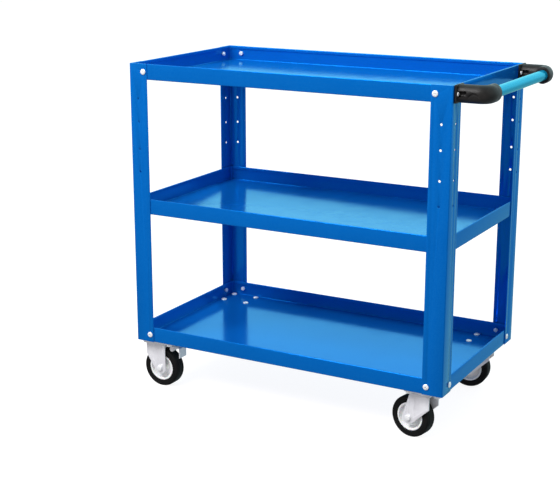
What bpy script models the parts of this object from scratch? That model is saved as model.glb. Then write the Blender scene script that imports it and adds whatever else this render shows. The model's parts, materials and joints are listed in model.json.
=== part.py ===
"""Three-tray steel tool cart on four casters, with a push handle at one end.

Four folded angle posts stand outside three folded trays and are bolted to the top and
bottom ones. Two fixed casters with a foot brake carry the left end, and two swivel
casters carry the right end, under the handle. Metres, +Z up, floor at Z = 0, the origin
under the middle of the whole cart, +X towards the handle and -Y the front.
"""
import math

import bmesh
import bpy
from mathutils import Matrix, Vector

# Overall sizes of the sheet-metal body
BODY_LENGTH = 0.830          # over the outer faces of the posts, along X
BODY_WIDTH = 0.464           # over the outer faces of the posts, along Y
POST_HEIGHT = 0.700

# Clearances
SEAT_GAP = 0.0003            # between pieces that touch or fit one another
RUNNING_GAP = 0.0004         # radial, where one piece turns on another
PEDAL_GAP = 0.0040           # each side of the brake pedal, inside its fork

# Angle posts
POST_FLANGE = 0.050
POST_THICKNESS = 0.0015
POST_BEND_RADIUS = 0.0030
ADJUSTING_HOLE_RADIUS = 0.0028
ADJUSTING_HOLE_INSET = 0.024     # from the post's corner
FIRST_HOLE_DROP = 0.084          # from the post's top
HOLE_PAIR_SPACING = 0.056
HOLE_PAIR_PITCH = 0.123
HOLE_PAIRS = 2

# Folded trays
TRAY_THICKNESS = 0.0012
RIM_HEIGHT = 0.038
TRAY_CORNER_RADIUS = 0.0060
TRAY_FOLD_RADIUS = 0.0025
HEM_RADIUS = 0.0018              # of the rim's edge, folded over inwards
HEM_DEPTH = 0.0060
MIDDLE_TRAY_LEVEL = 0.331        # its underside above the post's foot

# Bolts that hold the posts to the top and bottom trays, each with its nut
BOLT_RADIUS = 0.0030
BOLT_HEAD_RADIUS = 0.0070
BOLT_HEAD_HEIGHT = 0.0033
BOLT_NUT_ACROSS_FLATS = 0.0100
BOLT_NUT_HEIGHT = 0.0050
BOLT_END_LENGTH = 0.0010         # thread past the nut
BOLT_FROM_CORNER = 0.040

# Push handle
TUBE_RADIUS = 0.0125
TUBE_WALL = 0.0015
TUBE_OFFSET = 0.066              # its axis from the posts' end faces
TUBE_DROP = 0.0185               # its axis below the posts' tops
ARM_RADIUS = 0.0180              # half the width of the bracket's arm
ARM_HALF_HEIGHT = 0.0200
ARM_INSET = 0.028                # the arm's centre line from the cart's side
ARM_BEND_RADIUS = 0.0200
SOCKET_MOUTH = 0.069             # the socket's mouth from the cart's side
SOCKET_DEPTH = 0.024
BRACKET_BASE_WIDTH = 0.044
BRACKET_BASE_THICKNESS = 0.0050
BRACKET_BASE_ROUNDING = 0.0015
BRACKET_SCREW_SPREAD = 0.0145    # each screw from the arm's centre line
SCREW_RADIUS = 0.0025
SCREW_HEAD_RADIUS = 0.0050
SCREW_HEAD_HEIGHT = 0.0030
SCREW_NUT_ACROSS_FLATS = 0.0080
SCREW_NUT_HEIGHT = 0.0040
SCREW_POCKET_RADIUS = 0.0068
SCREW_POCKET_LENGTH = 0.020

# Caster plates and their bolt holes
PLATE_LENGTH = 0.094
PLATE_WIDTH = 0.074
PLATE_THICKNESS = 0.0030
PLATE_CORNER_RADIUS = 0.0080
PLATE_END_INSET = 0.052          # plate's centre from the cart's end
PLATE_SIDE_INSET = 0.043         # plate's centre from the cart's side
PLATE_HOLE_SPACING_X = 0.070
PLATE_HOLE_SPACING_Y = 0.056
PLATE_HOLE_RADIUS = 0.0042

# Wheels
WHEEL_RADIUS = 0.050
CASTER_HEADROOM = 0.025          # tyre's top to the underside of the bottom tray
TYRE_WIDTH = 0.032
TYRE_SHOULDER = 0.0045
TYRE_BORE_RADIUS = 0.0343
RIM_WIDTH = 0.030
RIM_INNER_RADIUS = 0.0285
WEB_THICKNESS = 0.0080
HUB_RADIUS = 0.0130
HUB_END_GAP = 0.0010             # hub to the leg, each side; the bush is what is clamped
BUSH_RADIUS = 0.0062
AXLE_RADIUS = 0.0040
AXLE_HEAD_ACROSS_FLATS = 0.0130
AXLE_HEAD_HEIGHT = 0.0050
AXLE_NUT_HEIGHT = 0.0065
AXLE_END_LENGTH = 0.0015

# Forks
FORK_THICKNESS = 0.0025
FORK_BEND_RADIUS = 0.0040
FORK_SIDE_GAP = 0.0030           # tyre's side to the leg
LEG_END_RADIUS = 0.0160          # round the axle
FIXED_BRACE_REACH = 0.040        # of the fixed fork, ahead of its axle
FIXED_BRACE_HEIGHT = 0.034       # brace's lower corner above the axle
FIXED_CROWN_OVERLAP = 0.0010     # the crown's lap into the plate it is pressed from

# Swivel heads
SWIVEL_TRAIL = 0.038             # axle behind the kingpin
FRONT_SWIVEL_ANGLE = math.radians(10.0)
BACK_SWIVEL_ANGLE = math.radians(-3.0)
RACE_RADIUS = 0.0270
RACE_DEPTH = 0.0040
BALL_RING_RADIUS = 0.0250
BALL_RING_BORE = 0.0170
BALL_RING_HEIGHT = 0.0040
CROWN_FRONT_REACH = 0.0170       # crown ahead of the kingpin
CROWN_FRONT_DEPTH = 0.033        # fork's front edge below the crown's top
KINGPIN_RADIUS = 0.0060
KINGPIN_HEAD_RADIUS = 0.0090
KINGPIN_HEAD_HEIGHT = 0.0022
KINGPIN_TAIL_HEIGHT = 0.0030

# Foot brakes of the fixed casters, measured from the axle
BRAKE_PIVOT_X = 0.012
BRAKE_PIVOT_CLEARANCE = 0.0095   # pivot above the tyre's top
BRAKE_PIN_RADIUS = 0.0025
BRAKE_PIN_HEAD_RADIUS = 0.0045
BRAKE_PIN_HEAD_HEIGHT = 0.0018
BRAKE_HUB_RADIUS = 0.0050
PEDAL_THICKNESS = 0.0025
PEDAL_TAIL = 0.012               # pedal's plate ahead of its pivot
PEDAL_OVERHANG = 0.007           # pedal's lip past the tyre's radius
PEDAL_LIP_DEPTH = 0.028
PEDAL_LIP_RAKE = 0.0
PEDAL_FOLD_RADIUS = 0.0040
SHOE_X = 0.032
SHOE_DROP = 0.0065               # shoe below the pivot
SHOE_RADIUS = 0.0062

# Facets
TURNED_STEPS = 32
TUBE_STEPS = 28
SMALL_STEPS = 14
BOLT_STEPS = 12
HOLE_STEPS = 10
FOLD_STEPS = 3
HEM_STEPS = 4

# Sizes that follow from the ones above
CASTER_HEIGHT = 2 * WHEEL_RADIUS + CASTER_HEADROOM       # floor to the bottom tray's underside
BRAKE_PIVOT_RISE = WHEEL_RADIUS + BRAKE_PIVOT_CLEARANCE
SHOE_RISE = BRAKE_PIVOT_RISE - SHOE_DROP
PEDAL_REACH = WHEEL_RADIUS + PEDAL_OVERHANG
HEAD_STAND = BOLT_HEAD_HEIGHT + SEAT_GAP
HANDLE_REACH = TUBE_OFFSET + ARM_RADIUS
LEFT_FACE = -(BODY_LENGTH + HANDLE_REACH - HEAD_STAND) / 2
RIGHT_FACE = LEFT_FACE + BODY_LENGTH
BODY_MIDDLE = LEFT_FACE + BODY_LENGTH / 2
FRONT_FACE = -BODY_WIDTH / 2
POST_FOOT = CASTER_HEIGHT
POST_TOP = POST_FOOT + POST_HEIGHT
SHEET_STACK = POST_THICKNESS + SEAT_GAP + TRAY_THICKNESS
PLATE_TOP = CASTER_HEIGHT - SEAT_GAP
PLATE_UNDERSIDE = PLATE_TOP - PLATE_THICKNESS
FORK_HALF_GAP = TYRE_WIDTH / 2 + FORK_SIDE_GAP
FORK_HALF_WIDTH = FORK_HALF_GAP + FORK_THICKNESS
BALL_RING_TOP = PLATE_UNDERSIDE - RACE_DEPTH - SEAT_GAP
CROWN_TOP = BALL_RING_TOP - BALL_RING_HEIGHT - SEAT_GAP
PEDAL_HALF_WIDTH = FORK_HALF_GAP - PEDAL_GAP

PARTS = bpy.data.collections.new("tool_cart")
CUTTERS = bpy.data.collections.new("tool_cart_cutters")


def clear_scene():
    for thing in list(bpy.data.objects):
        bpy.data.objects.remove(thing, do_unlink=True)
    bpy.context.scene.collection.children.link(PARTS)
    bpy.context.scene.collection.children.link(CUTTERS)


def finish_material(name, colour, roughness, metallic):
    material = bpy.data.materials.new(name)
    material.use_nodes = True
    shader = material.node_tree.nodes["Principled BSDF"]
    shader.inputs["Base Color"].default_value = (*colour, 1.0)
    shader.inputs["Roughness"].default_value = roughness
    shader.inputs["Metallic"].default_value = metallic
    return material


def make_materials():
    return {
        "blue_paint": finish_material("blue_paint", (0.003, 0.160, 0.560), 0.22, 0.0),
        "black_plastic": finish_material("black_plastic", (0.012, 0.012, 0.013), 0.42, 0.0),
        "zinc": finish_material("zinc", (0.640, 0.650, 0.670), 0.32, 1.0),
        "white_nylon": finish_material("white_nylon", (0.780, 0.780, 0.760), 0.45, 0.0),
        "black_rubber": finish_material("black_rubber", (0.014, 0.014, 0.015), 0.70, 0.0),
    }


# ---------------------------------------------------------------- modelling helpers

def scratch_object(name, mesh, collection=None):
    made = bpy.data.objects.new(name, mesh)
    (collection or PARTS).objects.link(made)
    return made


def mesh_from(bm, name):
    mesh = bpy.data.meshes.new(name)
    bm.to_mesh(mesh)
    bm.free()
    return mesh


def baked(shape):
    """The mesh of a shape with its modifiers, in the shape's own axes; the shape goes."""
    graph = bpy.context.evaluated_depsgraph_get()
    mesh = bpy.data.meshes.new_from_object(shape.evaluated_get(graph))
    mesh.transform(shape.matrix_world)
    bpy.data.objects.remove(shape, do_unlink=True)
    return mesh


def welded(mesh):
    bm = bmesh.new()
    bm.from_mesh(mesh)
    bmesh.ops.remove_doubles(bm, verts=bm.verts, dist=0.00002)
    bmesh.ops.recalc_face_normals(bm, faces=bm.faces)
    bm.to_mesh(mesh)
    bm.free()
    return mesh


def box_mesh(size, centre, rounding=0.0, vertical_only=False, segments=FOLD_STEPS):
    bm = bmesh.new()
    place = Matrix.Translation(centre) @ Matrix.Diagonal((*size, 1.0))
    bmesh.ops.create_cube(bm, size=1.0, matrix=place)
    if rounding:
        edges = list(bm.edges)
        if vertical_only:
            edges = [edge for edge in bm.edges if is_upright(edge)]
        bmesh.ops.bevel(
            bm, geom=edges, offset=rounding, segments=segments, profile=0.5, affect="EDGES"
        )
    return mesh_from(bm, "box")


def is_upright(edge):
    run = edge.verts[0].co - edge.verts[1].co
    return abs(run.x) < 1e-6 and abs(run.y) < 1e-6


def rod_mesh(radius, start, end, steps=SMALL_STEPS):
    """A solid rod between two points."""
    start = Vector(start)
    end = Vector(end)
    run = end - start
    bm = bmesh.new()
    place = Matrix.Translation((start + end) / 2) @ run.to_track_quat("Z", "Y").to_matrix().to_4x4()
    bmesh.ops.create_cone(
        bm, cap_ends=True, segments=steps, radius1=radius, radius2=radius,
        depth=run.length, matrix=place,
    )
    return mesh_from(bm, "rod")


def turned_mesh(profile, steps=TURNED_STEPS, closed=False):
    """Turns (radius, height) points about Z; a solid's run down its outer side, top first."""
    bm = bmesh.new()
    points = [bm.verts.new((radius, 0.0, height)) for radius, height in profile]
    pairs = list(zip(points, points[1:]))
    if closed:
        pairs.append((points[-1], points[0]))
    for first, second in pairs:
        bm.edges.new((first, second))
    shape = scratch_object("turned", mesh_from(bm, "turned"))
    screw = shape.modifiers.new("turn", "SCREW")
    screw.steps = steps
    screw.render_steps = steps
    screw.use_merge_vertices = True
    screw.merge_threshold = 0.00001
    screw.use_normal_calculate = True
    return welded(baked(shape))


def outline_mesh(points, low_y, high_y):
    """A flat outline of (x, z) points, extruded along Y between two places."""
    data = bpy.data.curves.new("outline", "CURVE")
    data.dimensions = "2D"
    data.fill_mode = "BOTH"
    data.extrude = (high_y - low_y) / 2
    spline = data.splines.new("POLY")
    spline.points.add(len(points) - 1)
    for point, (x, z) in zip(spline.points, points):
        point.co = (x, z, 0.0, 1.0)
    spline.use_cyclic_u = True
    shape = scratch_object("outline", data)
    shape.rotation_euler = (math.pi / 2, 0.0, 0.0)
    shape.location = (0.0, (low_y + high_y) / 2, 0.0)
    bpy.context.view_layer.update()
    return welded(baked(shape))


def arc(centre, radius, start, end, steps):
    """Points on an arc, from one angle to another in degrees."""
    turns = [math.radians(start + (end - start) * step / steps) for step in range(steps + 1)]
    return [
        (centre[0] + radius * math.cos(turn), centre[1] + radius * math.sin(turn)) for turn in turns
    ]


def tangent_angle(point, centre, radius, side):
    """The angle, in degrees, at which a line from a point touches a circle."""
    run_x = point[0] - centre[0]
    run_y = point[1] - centre[1]
    distance = math.hypot(run_x, run_y)
    opening = math.acos(radius / distance)
    return math.degrees(math.atan2(run_y, run_x) + side * opening)


def joined(base, others, operation="UNION"):
    """Adds meshes to a base mesh, or cuts or crosses it with them, one after another."""
    shape = scratch_object("joined", base)
    helpers = []
    for number, other in enumerate(others):
        cutter = scratch_object("cutter_%d" % number, other, CUTTERS)
        cutter.hide_render = True
        cutter.display_type = "WIRE"
        modifier = shape.modifiers.new("step_%d" % number, "BOOLEAN")
        modifier.operation = operation
        modifier.solver = "EXACT"
        modifier.object = cutter
        helpers.append(cutter)
    bpy.context.view_layer.update()
    mesh = welded(baked(shape))
    for cutter in helpers:
        bpy.data.objects.remove(cutter, do_unlink=True)
    return mesh


def cut(base, cutters):
    return joined(base, cutters, "DIFFERENCE")


def together(meshes):
    """One mesh of several that stand apart, so that one cut makes all their holes."""
    bm = bmesh.new()
    for mesh in meshes:
        bm.from_mesh(mesh)
    return mesh_from(bm, "together")


def thickened(bm, thickness):
    """A closed sheet of a thickness behind an open surface."""
    shape = scratch_object("sheet", mesh_from(bm, "sheet"))
    solidify = shape.modifiers.new("thickness", "SOLIDIFY")
    solidify.thickness = thickness
    solidify.offset = -1.0
    solidify.use_even_offset = True
    return baked(shape)


def mirrored(mesh):
    """A copy of a mesh on the other side of the XZ plane."""
    bm = bmesh.new()
    bm.from_mesh(mesh)
    bmesh.ops.transform(bm, matrix=Matrix.Diagonal((1.0, -1.0, 1.0, 1.0)), verts=bm.verts)
    bmesh.ops.reverse_faces(bm, faces=bm.faces)
    return mesh_from(bm, mesh.name + "_mirrored")


def place(name, mesh, material, location=(0.0, 0.0, 0.0), rotation=(0.0, 0.0, 0.0), parent=None):
    """Puts a named piece in the cart. Its own copy of the mesh takes the material."""
    if not mesh.materials:
        mesh.materials.append(material)
    mesh.shade_smooth()
    mesh.set_sharp_from_angle(angle=math.radians(35.0))
    piece = bpy.data.objects.new(name, mesh)
    PARTS.objects.link(piece)
    piece.location = location
    piece.rotation_euler = rotation
    piece.parent = parent
    return piece


def pivot(name, location, rotation=(0.0, 0.0, 0.0), parent=None):
    """An empty on a joint's axis, which the moving pieces hang on."""
    empty = bpy.data.objects.new(name, None)
    PARTS.objects.link(empty)
    empty.empty_display_size = 0.02
    empty.location = location
    empty.rotation_euler = rotation
    empty.parent = parent
    return empty


# ---------------------------------------------------------------- frame

def hole_heights():
    """Heights of the adjusting holes above the post's foot."""
    heights = []
    for pair in range(HOLE_PAIRS):
        first = FIRST_HOLE_DROP + pair * HOLE_PAIR_PITCH
        heights.append(POST_HEIGHT - first)
        heights.append(POST_HEIGHT - first - HOLE_PAIR_SPACING)
    return heights


def post_mesh(top_end_bolt):
    """One angle post, its corner at the origin and its flanges along +X and +Y.

    A post under the handle has the bracket's two screws through its +Y flange, in place
    of the tray's bolt.
    """
    bm = bmesh.new()
    middle = Vector((POST_FLANGE / 2, POST_FLANGE / 2, POST_HEIGHT / 2))
    size = Matrix.Diagonal((POST_FLANGE, POST_FLANGE, POST_HEIGHT, 1.0))
    bmesh.ops.create_cube(bm, size=1.0, matrix=Matrix.Translation(middle) @ size)
    spare = [face for face in bm.faces if face.normal.x > 0.5 or face.normal.y > 0.5]
    spare += [face for face in bm.faces if abs(face.normal.z) > 0.5]
    bmesh.ops.delete(bm, geom=spare, context="FACES")
    corner = [edge for edge in bm.edges if len(edge.link_faces) == 2]
    bmesh.ops.bevel(
        bm, geom=corner, offset=POST_BEND_RADIUS, segments=4, profile=0.5, affect="EDGES"
    )
    sheet = thickened(bm, POST_THICKNESS)

    through = 3 * POST_THICKNESS
    bolt_hole = BOLT_RADIUS + SEAT_GAP
    screw_hole = SCREW_RADIUS + SEAT_GAP
    low = RIM_HEIGHT / 2
    high = POST_HEIGHT - RIM_HEIGHT / 2
    holes = [(ADJUSTING_HOLE_RADIUS, ADJUSTING_HOLE_INSET, height) for height in hole_heights()]
    side_holes = holes + [(bolt_hole, BOLT_FROM_CORNER, low), (bolt_hole, BOLT_FROM_CORNER, high)]
    end_holes = holes + [(bolt_hole, BOLT_FROM_CORNER, low)]
    if top_end_bolt:
        end_holes.append((bolt_hole, BOLT_FROM_CORNER, high))
    else:
        level = POST_HEIGHT - TUBE_DROP
        end_holes.append((screw_hole, ARM_INSET - BRACKET_SCREW_SPREAD, level))
        end_holes.append((screw_hole, ARM_INSET + BRACKET_SCREW_SPREAD, level))
    cutters = []
    for radius, inset, height in side_holes:
        cutters.append(rod_mesh(radius, (inset, -through, height), (inset, through, height), HOLE_STEPS))
    for radius, inset, height in end_holes:
        cutters.append(rod_mesh(radius, (-through, inset, height), (through, inset, height), HOLE_STEPS))
    return cut(sheet, [together(cutters)])


def turned_post_mesh(mesh):
    """The same post with its two flanges changed over, by a mirror in the XY diagonal."""
    bm = bmesh.new()
    bm.from_mesh(mesh)
    swap = Matrix(((0, 1, 0, 0), (1, 0, 0, 0), (0, 0, 1, 0), (0, 0, 0, 1)))
    bmesh.ops.transform(bm, matrix=swap, verts=bm.verts)
    bmesh.ops.reverse_faces(bm, faces=bm.faces)
    return mesh_from(bm, "post_changed_over")


def make_posts(paint):
    """A left post's second flange lies on the left end; rotated, the flanges change places."""
    plain = post_mesh(True)
    handed = post_mesh(False)
    back_y = -FRONT_FACE
    quarter = math.pi / 2
    place("post_front_left", plain, paint, (LEFT_FACE, FRONT_FACE, POST_FOOT))
    place(
        "post_back_left", plain, paint, (LEFT_FACE, back_y, POST_FOOT), (0.0, 0.0, -quarter)
    )
    changed = turned_post_mesh(handed)
    place(
        "post_front_right", changed, paint, (RIGHT_FACE, FRONT_FACE, POST_FOOT), (0.0, 0.0, quarter)
    )
    place(
        "post_back_right", handed, paint, (RIGHT_FACE, back_y, POST_FOOT), (0.0, 0.0, 2 * quarter)
    )


def tray_half_sizes():
    inset = POST_THICKNESS + SEAT_GAP
    return BODY_LENGTH / 2 - inset, BODY_WIDTH / 2 - inset


def draw_in(vert, old_inset, new_inset):
    """Moves a point of the rim's loop inwards, square to the rim and round its corners."""
    half_x, half_y = tray_half_sizes()
    core = Vector((
        max(-half_x + TRAY_CORNER_RADIUS, min(half_x - TRAY_CORNER_RADIUS, vert.co.x)),
        max(-half_y + TRAY_CORNER_RADIUS, min(half_y - TRAY_CORNER_RADIUS, vert.co.y)),
        vert.co.z,
    ))
    share = (TRAY_CORNER_RADIUS - new_inset) / (TRAY_CORNER_RADIUS - old_inset)
    vert.co = core + (vert.co - core) * share


def tray_surface():
    """The tray's outer surface: floor, walls, and an edge folded over inwards."""
    half_x, half_y = tray_half_sizes()
    wall = RIM_HEIGHT - HEM_RADIUS
    bm = bmesh.new()
    size = Matrix.Diagonal((2 * half_x, 2 * half_y, wall, 1.0))
    bmesh.ops.create_cube(bm, size=1.0, matrix=Matrix.Translation((0.0, 0.0, wall / 2)) @ size)
    lid = [face for face in bm.faces if face.normal.z > 0.5]
    bmesh.ops.delete(bm, geom=lid, context="FACES")
    uprights = [edge for edge in bm.edges if is_upright(edge)]
    bmesh.ops.bevel(
        bm, geom=uprights, offset=TRAY_CORNER_RADIUS, segments=4, profile=0.5, affect="EDGES"
    )
    floor_edges = [
        edge for edge in bm.edges
        if all(vert.co.z < 1e-6 for vert in edge.verts) and len(edge.link_faces) == 2
    ]
    bmesh.ops.bevel(
        bm, geom=floor_edges, offset=TRAY_FOLD_RADIUS, segments=FOLD_STEPS, profile=0.5,
        affect="EDGES",
    )
    rings = []
    for step in range(1, HEM_STEPS + 1):
        turn = math.pi * step / HEM_STEPS
        rings.append((HEM_RADIUS * (1 - math.cos(turn)), wall + HEM_RADIUS * math.sin(turn)))
    rings.append((2 * HEM_RADIUS, wall - HEM_DEPTH))
    old_inset = 0.0
    for inset, height in rings:
        rim = [edge for edge in bm.edges if edge.is_boundary]
        grown = bmesh.ops.extrude_edge_only(bm, edges=rim)["geom"]
        for vert in [item for item in grown if isinstance(item, bmesh.types.BMVert)]:
            draw_in(vert, old_inset, inset)
            vert.co.z = height
        old_inset = inset
    bmesh.ops.recalc_face_normals(bm, faces=bm.faces)
    bm.faces.ensure_lookup_table()
    floor = min(bm.faces, key=lambda face: face.calc_center_median().z)
    if floor.normal.z > 0:
        bmesh.ops.reverse_faces(bm, faces=bm.faces)
    return bm


def plate_centres():
    """Caster centres as (corner, x, y) in the cart's axes."""
    left = LEFT_FACE + PLATE_END_INSET
    right = RIGHT_FACE - PLATE_END_INSET
    front = FRONT_FACE + PLATE_SIDE_INSET
    return {
        "front_left": (left, front),
        "front_right": (right, front),
        "back_right": (right, -front),
        "back_left": (left, -front),
    }


def plate_holes(centre_x, centre_y):
    return [
        (centre_x + sign_x * PLATE_HOLE_SPACING_X / 2, centre_y + sign_y * PLATE_HOLE_SPACING_Y / 2)
        for sign_x in (-1, 1) for sign_y in (-1, 1)
    ]


def wall_hole_cutters(is_top):
    """Rods through the tray's walls, in the tray's own axes."""
    half_x, half_y = BODY_LENGTH / 2, BODY_WIDTH / 2
    radius = BOLT_RADIUS + SEAT_GAP
    height = RIM_HEIGHT / 2
    deep = 3 * SHEET_STACK
    cutters = []
    for sign_x in (-1, 1):
        for sign_y in (-1, 1):
            x = sign_x * (half_x - BOLT_FROM_CORNER)
            cutters.append(
                rod_mesh(radius, (x, sign_y * half_y, height), (x, sign_y * (half_y - deep), height),
                         HOLE_STEPS)
            )
            if is_top and sign_x > 0:
                continue
            y = sign_y * (half_y - BOLT_FROM_CORNER)
            cutters.append(
                rod_mesh(radius, (sign_x * half_x, y, height), (sign_x * (half_x - deep), y, height),
                         HOLE_STEPS)
            )
    if is_top:
        radius = SCREW_RADIUS + SEAT_GAP
        height = RIM_HEIGHT - TUBE_DROP
        for sign_y in (-1, 1):
            for spread in (-BRACKET_SCREW_SPREAD, BRACKET_SCREW_SPREAD):
                y = sign_y * (half_y - ARM_INSET + spread)
                cutters.append(
                    rod_mesh(radius, (half_x, y, height), (half_x - deep, y, height), HOLE_STEPS)
                )
    return cutters


def make_trays(paint):
    top = cut(thickened(tray_surface(), TRAY_THICKNESS), [together(wall_hole_cutters(True))])
    middle = thickened(tray_surface(), TRAY_THICKNESS)
    floor_cutters = []
    for centre_x, centre_y in plate_centres().values():
        for x, y in plate_holes(centre_x - BODY_MIDDLE, centre_y):
            floor_cutters.append(
                rod_mesh(PLATE_HOLE_RADIUS, (x, y, -TRAY_THICKNESS), (x, y, 2 * TRAY_THICKNESS),
                         HOLE_STEPS)
            )
    bottom_cutters = together(wall_hole_cutters(False) + floor_cutters)
    bottom = cut(thickened(tray_surface(), TRAY_THICKNESS), [bottom_cutters])
    place("tray_top", top, paint, (BODY_MIDDLE, 0.0, POST_TOP - RIM_HEIGHT))
    place("tray_middle", middle, paint, (BODY_MIDDLE, 0.0, POST_FOOT + MIDDLE_TRAY_LEVEL))
    place("tray_bottom", bottom, paint, (BODY_MIDDLE, 0.0, POST_FOOT))


def bolt_mesh(radius, head_radius, head_height, stack, nut_flats, nut_height, end_length):
    """A round-headed bolt and its nut. +Z leaves the face, and Z = 0 lies on it."""
    head_low = SEAT_GAP
    nut_top = -stack - SEAT_GAP
    tail = nut_top - nut_height - end_length
    profile = [
        (0.0, head_low + head_height),
        (head_radius * 0.60, head_low + head_height * 0.85),
        (head_radius, head_low),
        (radius, head_low),
        (radius, tail),
        (0.0, tail),
    ]
    bolt = turned_mesh(profile, BOLT_STEPS)
    nut_radius = nut_flats / math.sqrt(3.0)
    nut = rod_mesh(nut_radius, (0.0, 0.0, nut_top - nut_height), (0.0, 0.0, nut_top), 6)
    return joined(bolt, [nut])


FACINGS = {
    "front": (math.pi / 2, 0.0, 0.0),
    "back": (-math.pi / 2, 0.0, 0.0),
    "left": (0.0, -math.pi / 2, 0.0),
    "right": (0.0, math.pi / 2, 0.0),
}


def make_tray_bolts(zinc):
    mesh = bolt_mesh(
        BOLT_RADIUS, BOLT_HEAD_RADIUS, BOLT_HEAD_HEIGHT, SHEET_STACK,
        BOLT_NUT_ACROSS_FLATS, BOLT_NUT_HEIGHT, BOLT_END_LENGTH,
    )
    levels = {"top": POST_TOP - RIM_HEIGHT / 2, "bottom": POST_FOOT + RIM_HEIGHT / 2}
    for level, height in levels.items():
        for side, end in (("front", "left"), ("front", "right"), ("back", "right"), ("back", "left")):
            corner_x = LEFT_FACE if end == "left" else RIGHT_FACE
            corner_y = FRONT_FACE if side == "front" else -FRONT_FACE
            inward_x = 1 if end == "left" else -1
            inward_y = 1 if side == "front" else -1
            name = "bolt_%s_%s_%s" % (level, side, end)
            spot = (corner_x + inward_x * BOLT_FROM_CORNER, corner_y, height)
            place(name + "_on_side", mesh, zinc, spot, FACINGS[side])
            if level == "top" and end == "right":
                continue
            spot = (corner_x, corner_y + inward_y * BOLT_FROM_CORNER, height)
            place(name + "_on_end", mesh, zinc, spot, FACINGS[end])


# ---------------------------------------------------------------- handle

def arm_mesh():
    """The bracket's elbow, from the post out along +X and round to the socket along +Y."""
    straight_end = TUBE_OFFSET - ARM_BEND_RADIUS
    path = [(0.0015, 0.0), (straight_end / 2, 0.0)]
    path += arc((straight_end, ARM_BEND_RADIUS), ARM_BEND_RADIUS, -90.0, 0.0, 8)
    path.append((TUBE_OFFSET, SOCKET_MOUTH - ARM_INSET))
    data = bpy.data.curves.new("arm", "CURVE")
    data.dimensions = "3D"
    data.bevel_depth = ARM_RADIUS
    data.bevel_resolution = 6
    data.use_fill_caps = True
    spline = data.splines.new("POLY")
    spline.points.add(len(path) - 1)
    for point, (x, y) in zip(spline.points, path):
        point.co = (x, y, 0.0, 1.0)
    mesh = welded(baked(scratch_object("arm", data)))
    mesh.transform(Matrix.Diagonal((1.0, 1.0, ARM_HALF_HEIGHT / ARM_RADIUS, 1.0)))
    return mesh


def bracket_mesh():
    """The front bracket; its origin is on the post's face, on the arm's centre line."""
    base_low = SEAT_GAP
    base = box_mesh(
        (BRACKET_BASE_THICKNESS, BRACKET_BASE_WIDTH, 2 * ARM_HALF_HEIGHT),
        (base_low + BRACKET_BASE_THICKNESS / 2, 0.0, 0.0),
        BRACKET_BASE_ROUNDING, segments=2,
    )
    whole = joined(base, [arm_mesh()])
    base_face = base_low + BRACKET_BASE_THICKNESS
    cutters = []
    for spread in (-BRACKET_SCREW_SPREAD, BRACKET_SCREW_SPREAD):
        pocket_end = base_face + SCREW_POCKET_LENGTH
        cutters.append(
            rod_mesh(SCREW_POCKET_RADIUS, (base_face, spread, 0.0), (pocket_end, spread, 0.0))
        )
        cutters.append(
            rod_mesh(SCREW_RADIUS + SEAT_GAP, (-base_face, spread, 0.0), (2 * base_face, spread, 0.0),
                     HOLE_STEPS)
        )
    mouth = SOCKET_MOUTH - ARM_INSET
    cutters.append(
        rod_mesh(
            TUBE_RADIUS + SEAT_GAP,
            (TUBE_OFFSET, mouth - SOCKET_DEPTH, 0.0),
            (TUBE_OFFSET, mouth + SOCKET_DEPTH, 0.0),
            TUBE_STEPS,
        )
    )
    return cut(whole, cutters)


def make_handle(paint, plastic, zinc):
    height = POST_TOP - TUBE_DROP
    front_y = FRONT_FACE + ARM_INSET
    front = bracket_mesh()
    back = mirrored(front)
    place("handle_bracket_front", front, plastic, (RIGHT_FACE, front_y, height))
    place("handle_bracket_back", back, plastic, (RIGHT_FACE, -front_y, height))

    half = BODY_WIDTH / 2 - SOCKET_MOUTH + SOCKET_DEPTH - SEAT_GAP
    inner = TUBE_RADIUS - TUBE_WALL
    wall = [(TUBE_RADIUS, half), (TUBE_RADIUS, -half), (inner, -half), (inner, half)]
    tube = turned_mesh(wall, TUBE_STEPS, closed=True)
    tube_x = RIGHT_FACE + TUBE_OFFSET
    place("handle_tube", tube, paint, (tube_x, 0.0, height), (math.pi / 2, 0.0, 0.0))

    base_face = SEAT_GAP + BRACKET_BASE_THICKNESS
    screw = bolt_mesh(
        SCREW_RADIUS, SCREW_HEAD_RADIUS, SCREW_HEAD_HEIGHT, base_face + SHEET_STACK,
        SCREW_NUT_ACROSS_FLATS, SCREW_NUT_HEIGHT, BOLT_END_LENGTH,
    )
    for side, sign in (("front", -1), ("back", 1)):
        for which, spread in (("outer", BRACKET_SCREW_SPREAD), ("inner", -BRACKET_SCREW_SPREAD)):
            y = sign * (BODY_WIDTH / 2 - ARM_INSET + spread)
            name = "handle_screw_%s_%s" % (side, which)
            place(name, screw, zinc, (RIGHT_FACE + base_face, y, height), FACINGS["right"])


# ---------------------------------------------------------------- casters

def plate_mesh():
    """A caster's top plate with its four bolt holes, centred over the origin."""
    size = (PLATE_LENGTH, PLATE_WIDTH, PLATE_THICKNESS)
    middle = PLATE_TOP - PLATE_THICKNESS / 2
    plate = box_mesh(size, (0.0, 0.0, middle), PLATE_CORNER_RADIUS, vertical_only=True)
    cutters = [
        rod_mesh(
            PLATE_HOLE_RADIUS, (x, y, PLATE_TOP + PLATE_THICKNESS),
            (x, y, PLATE_UNDERSIDE - PLATE_THICKNESS), HOLE_STEPS,
        )
        for x, y in plate_holes(0.0, 0.0)
    ]
    return cut(plate, [together(cutters)])


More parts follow.
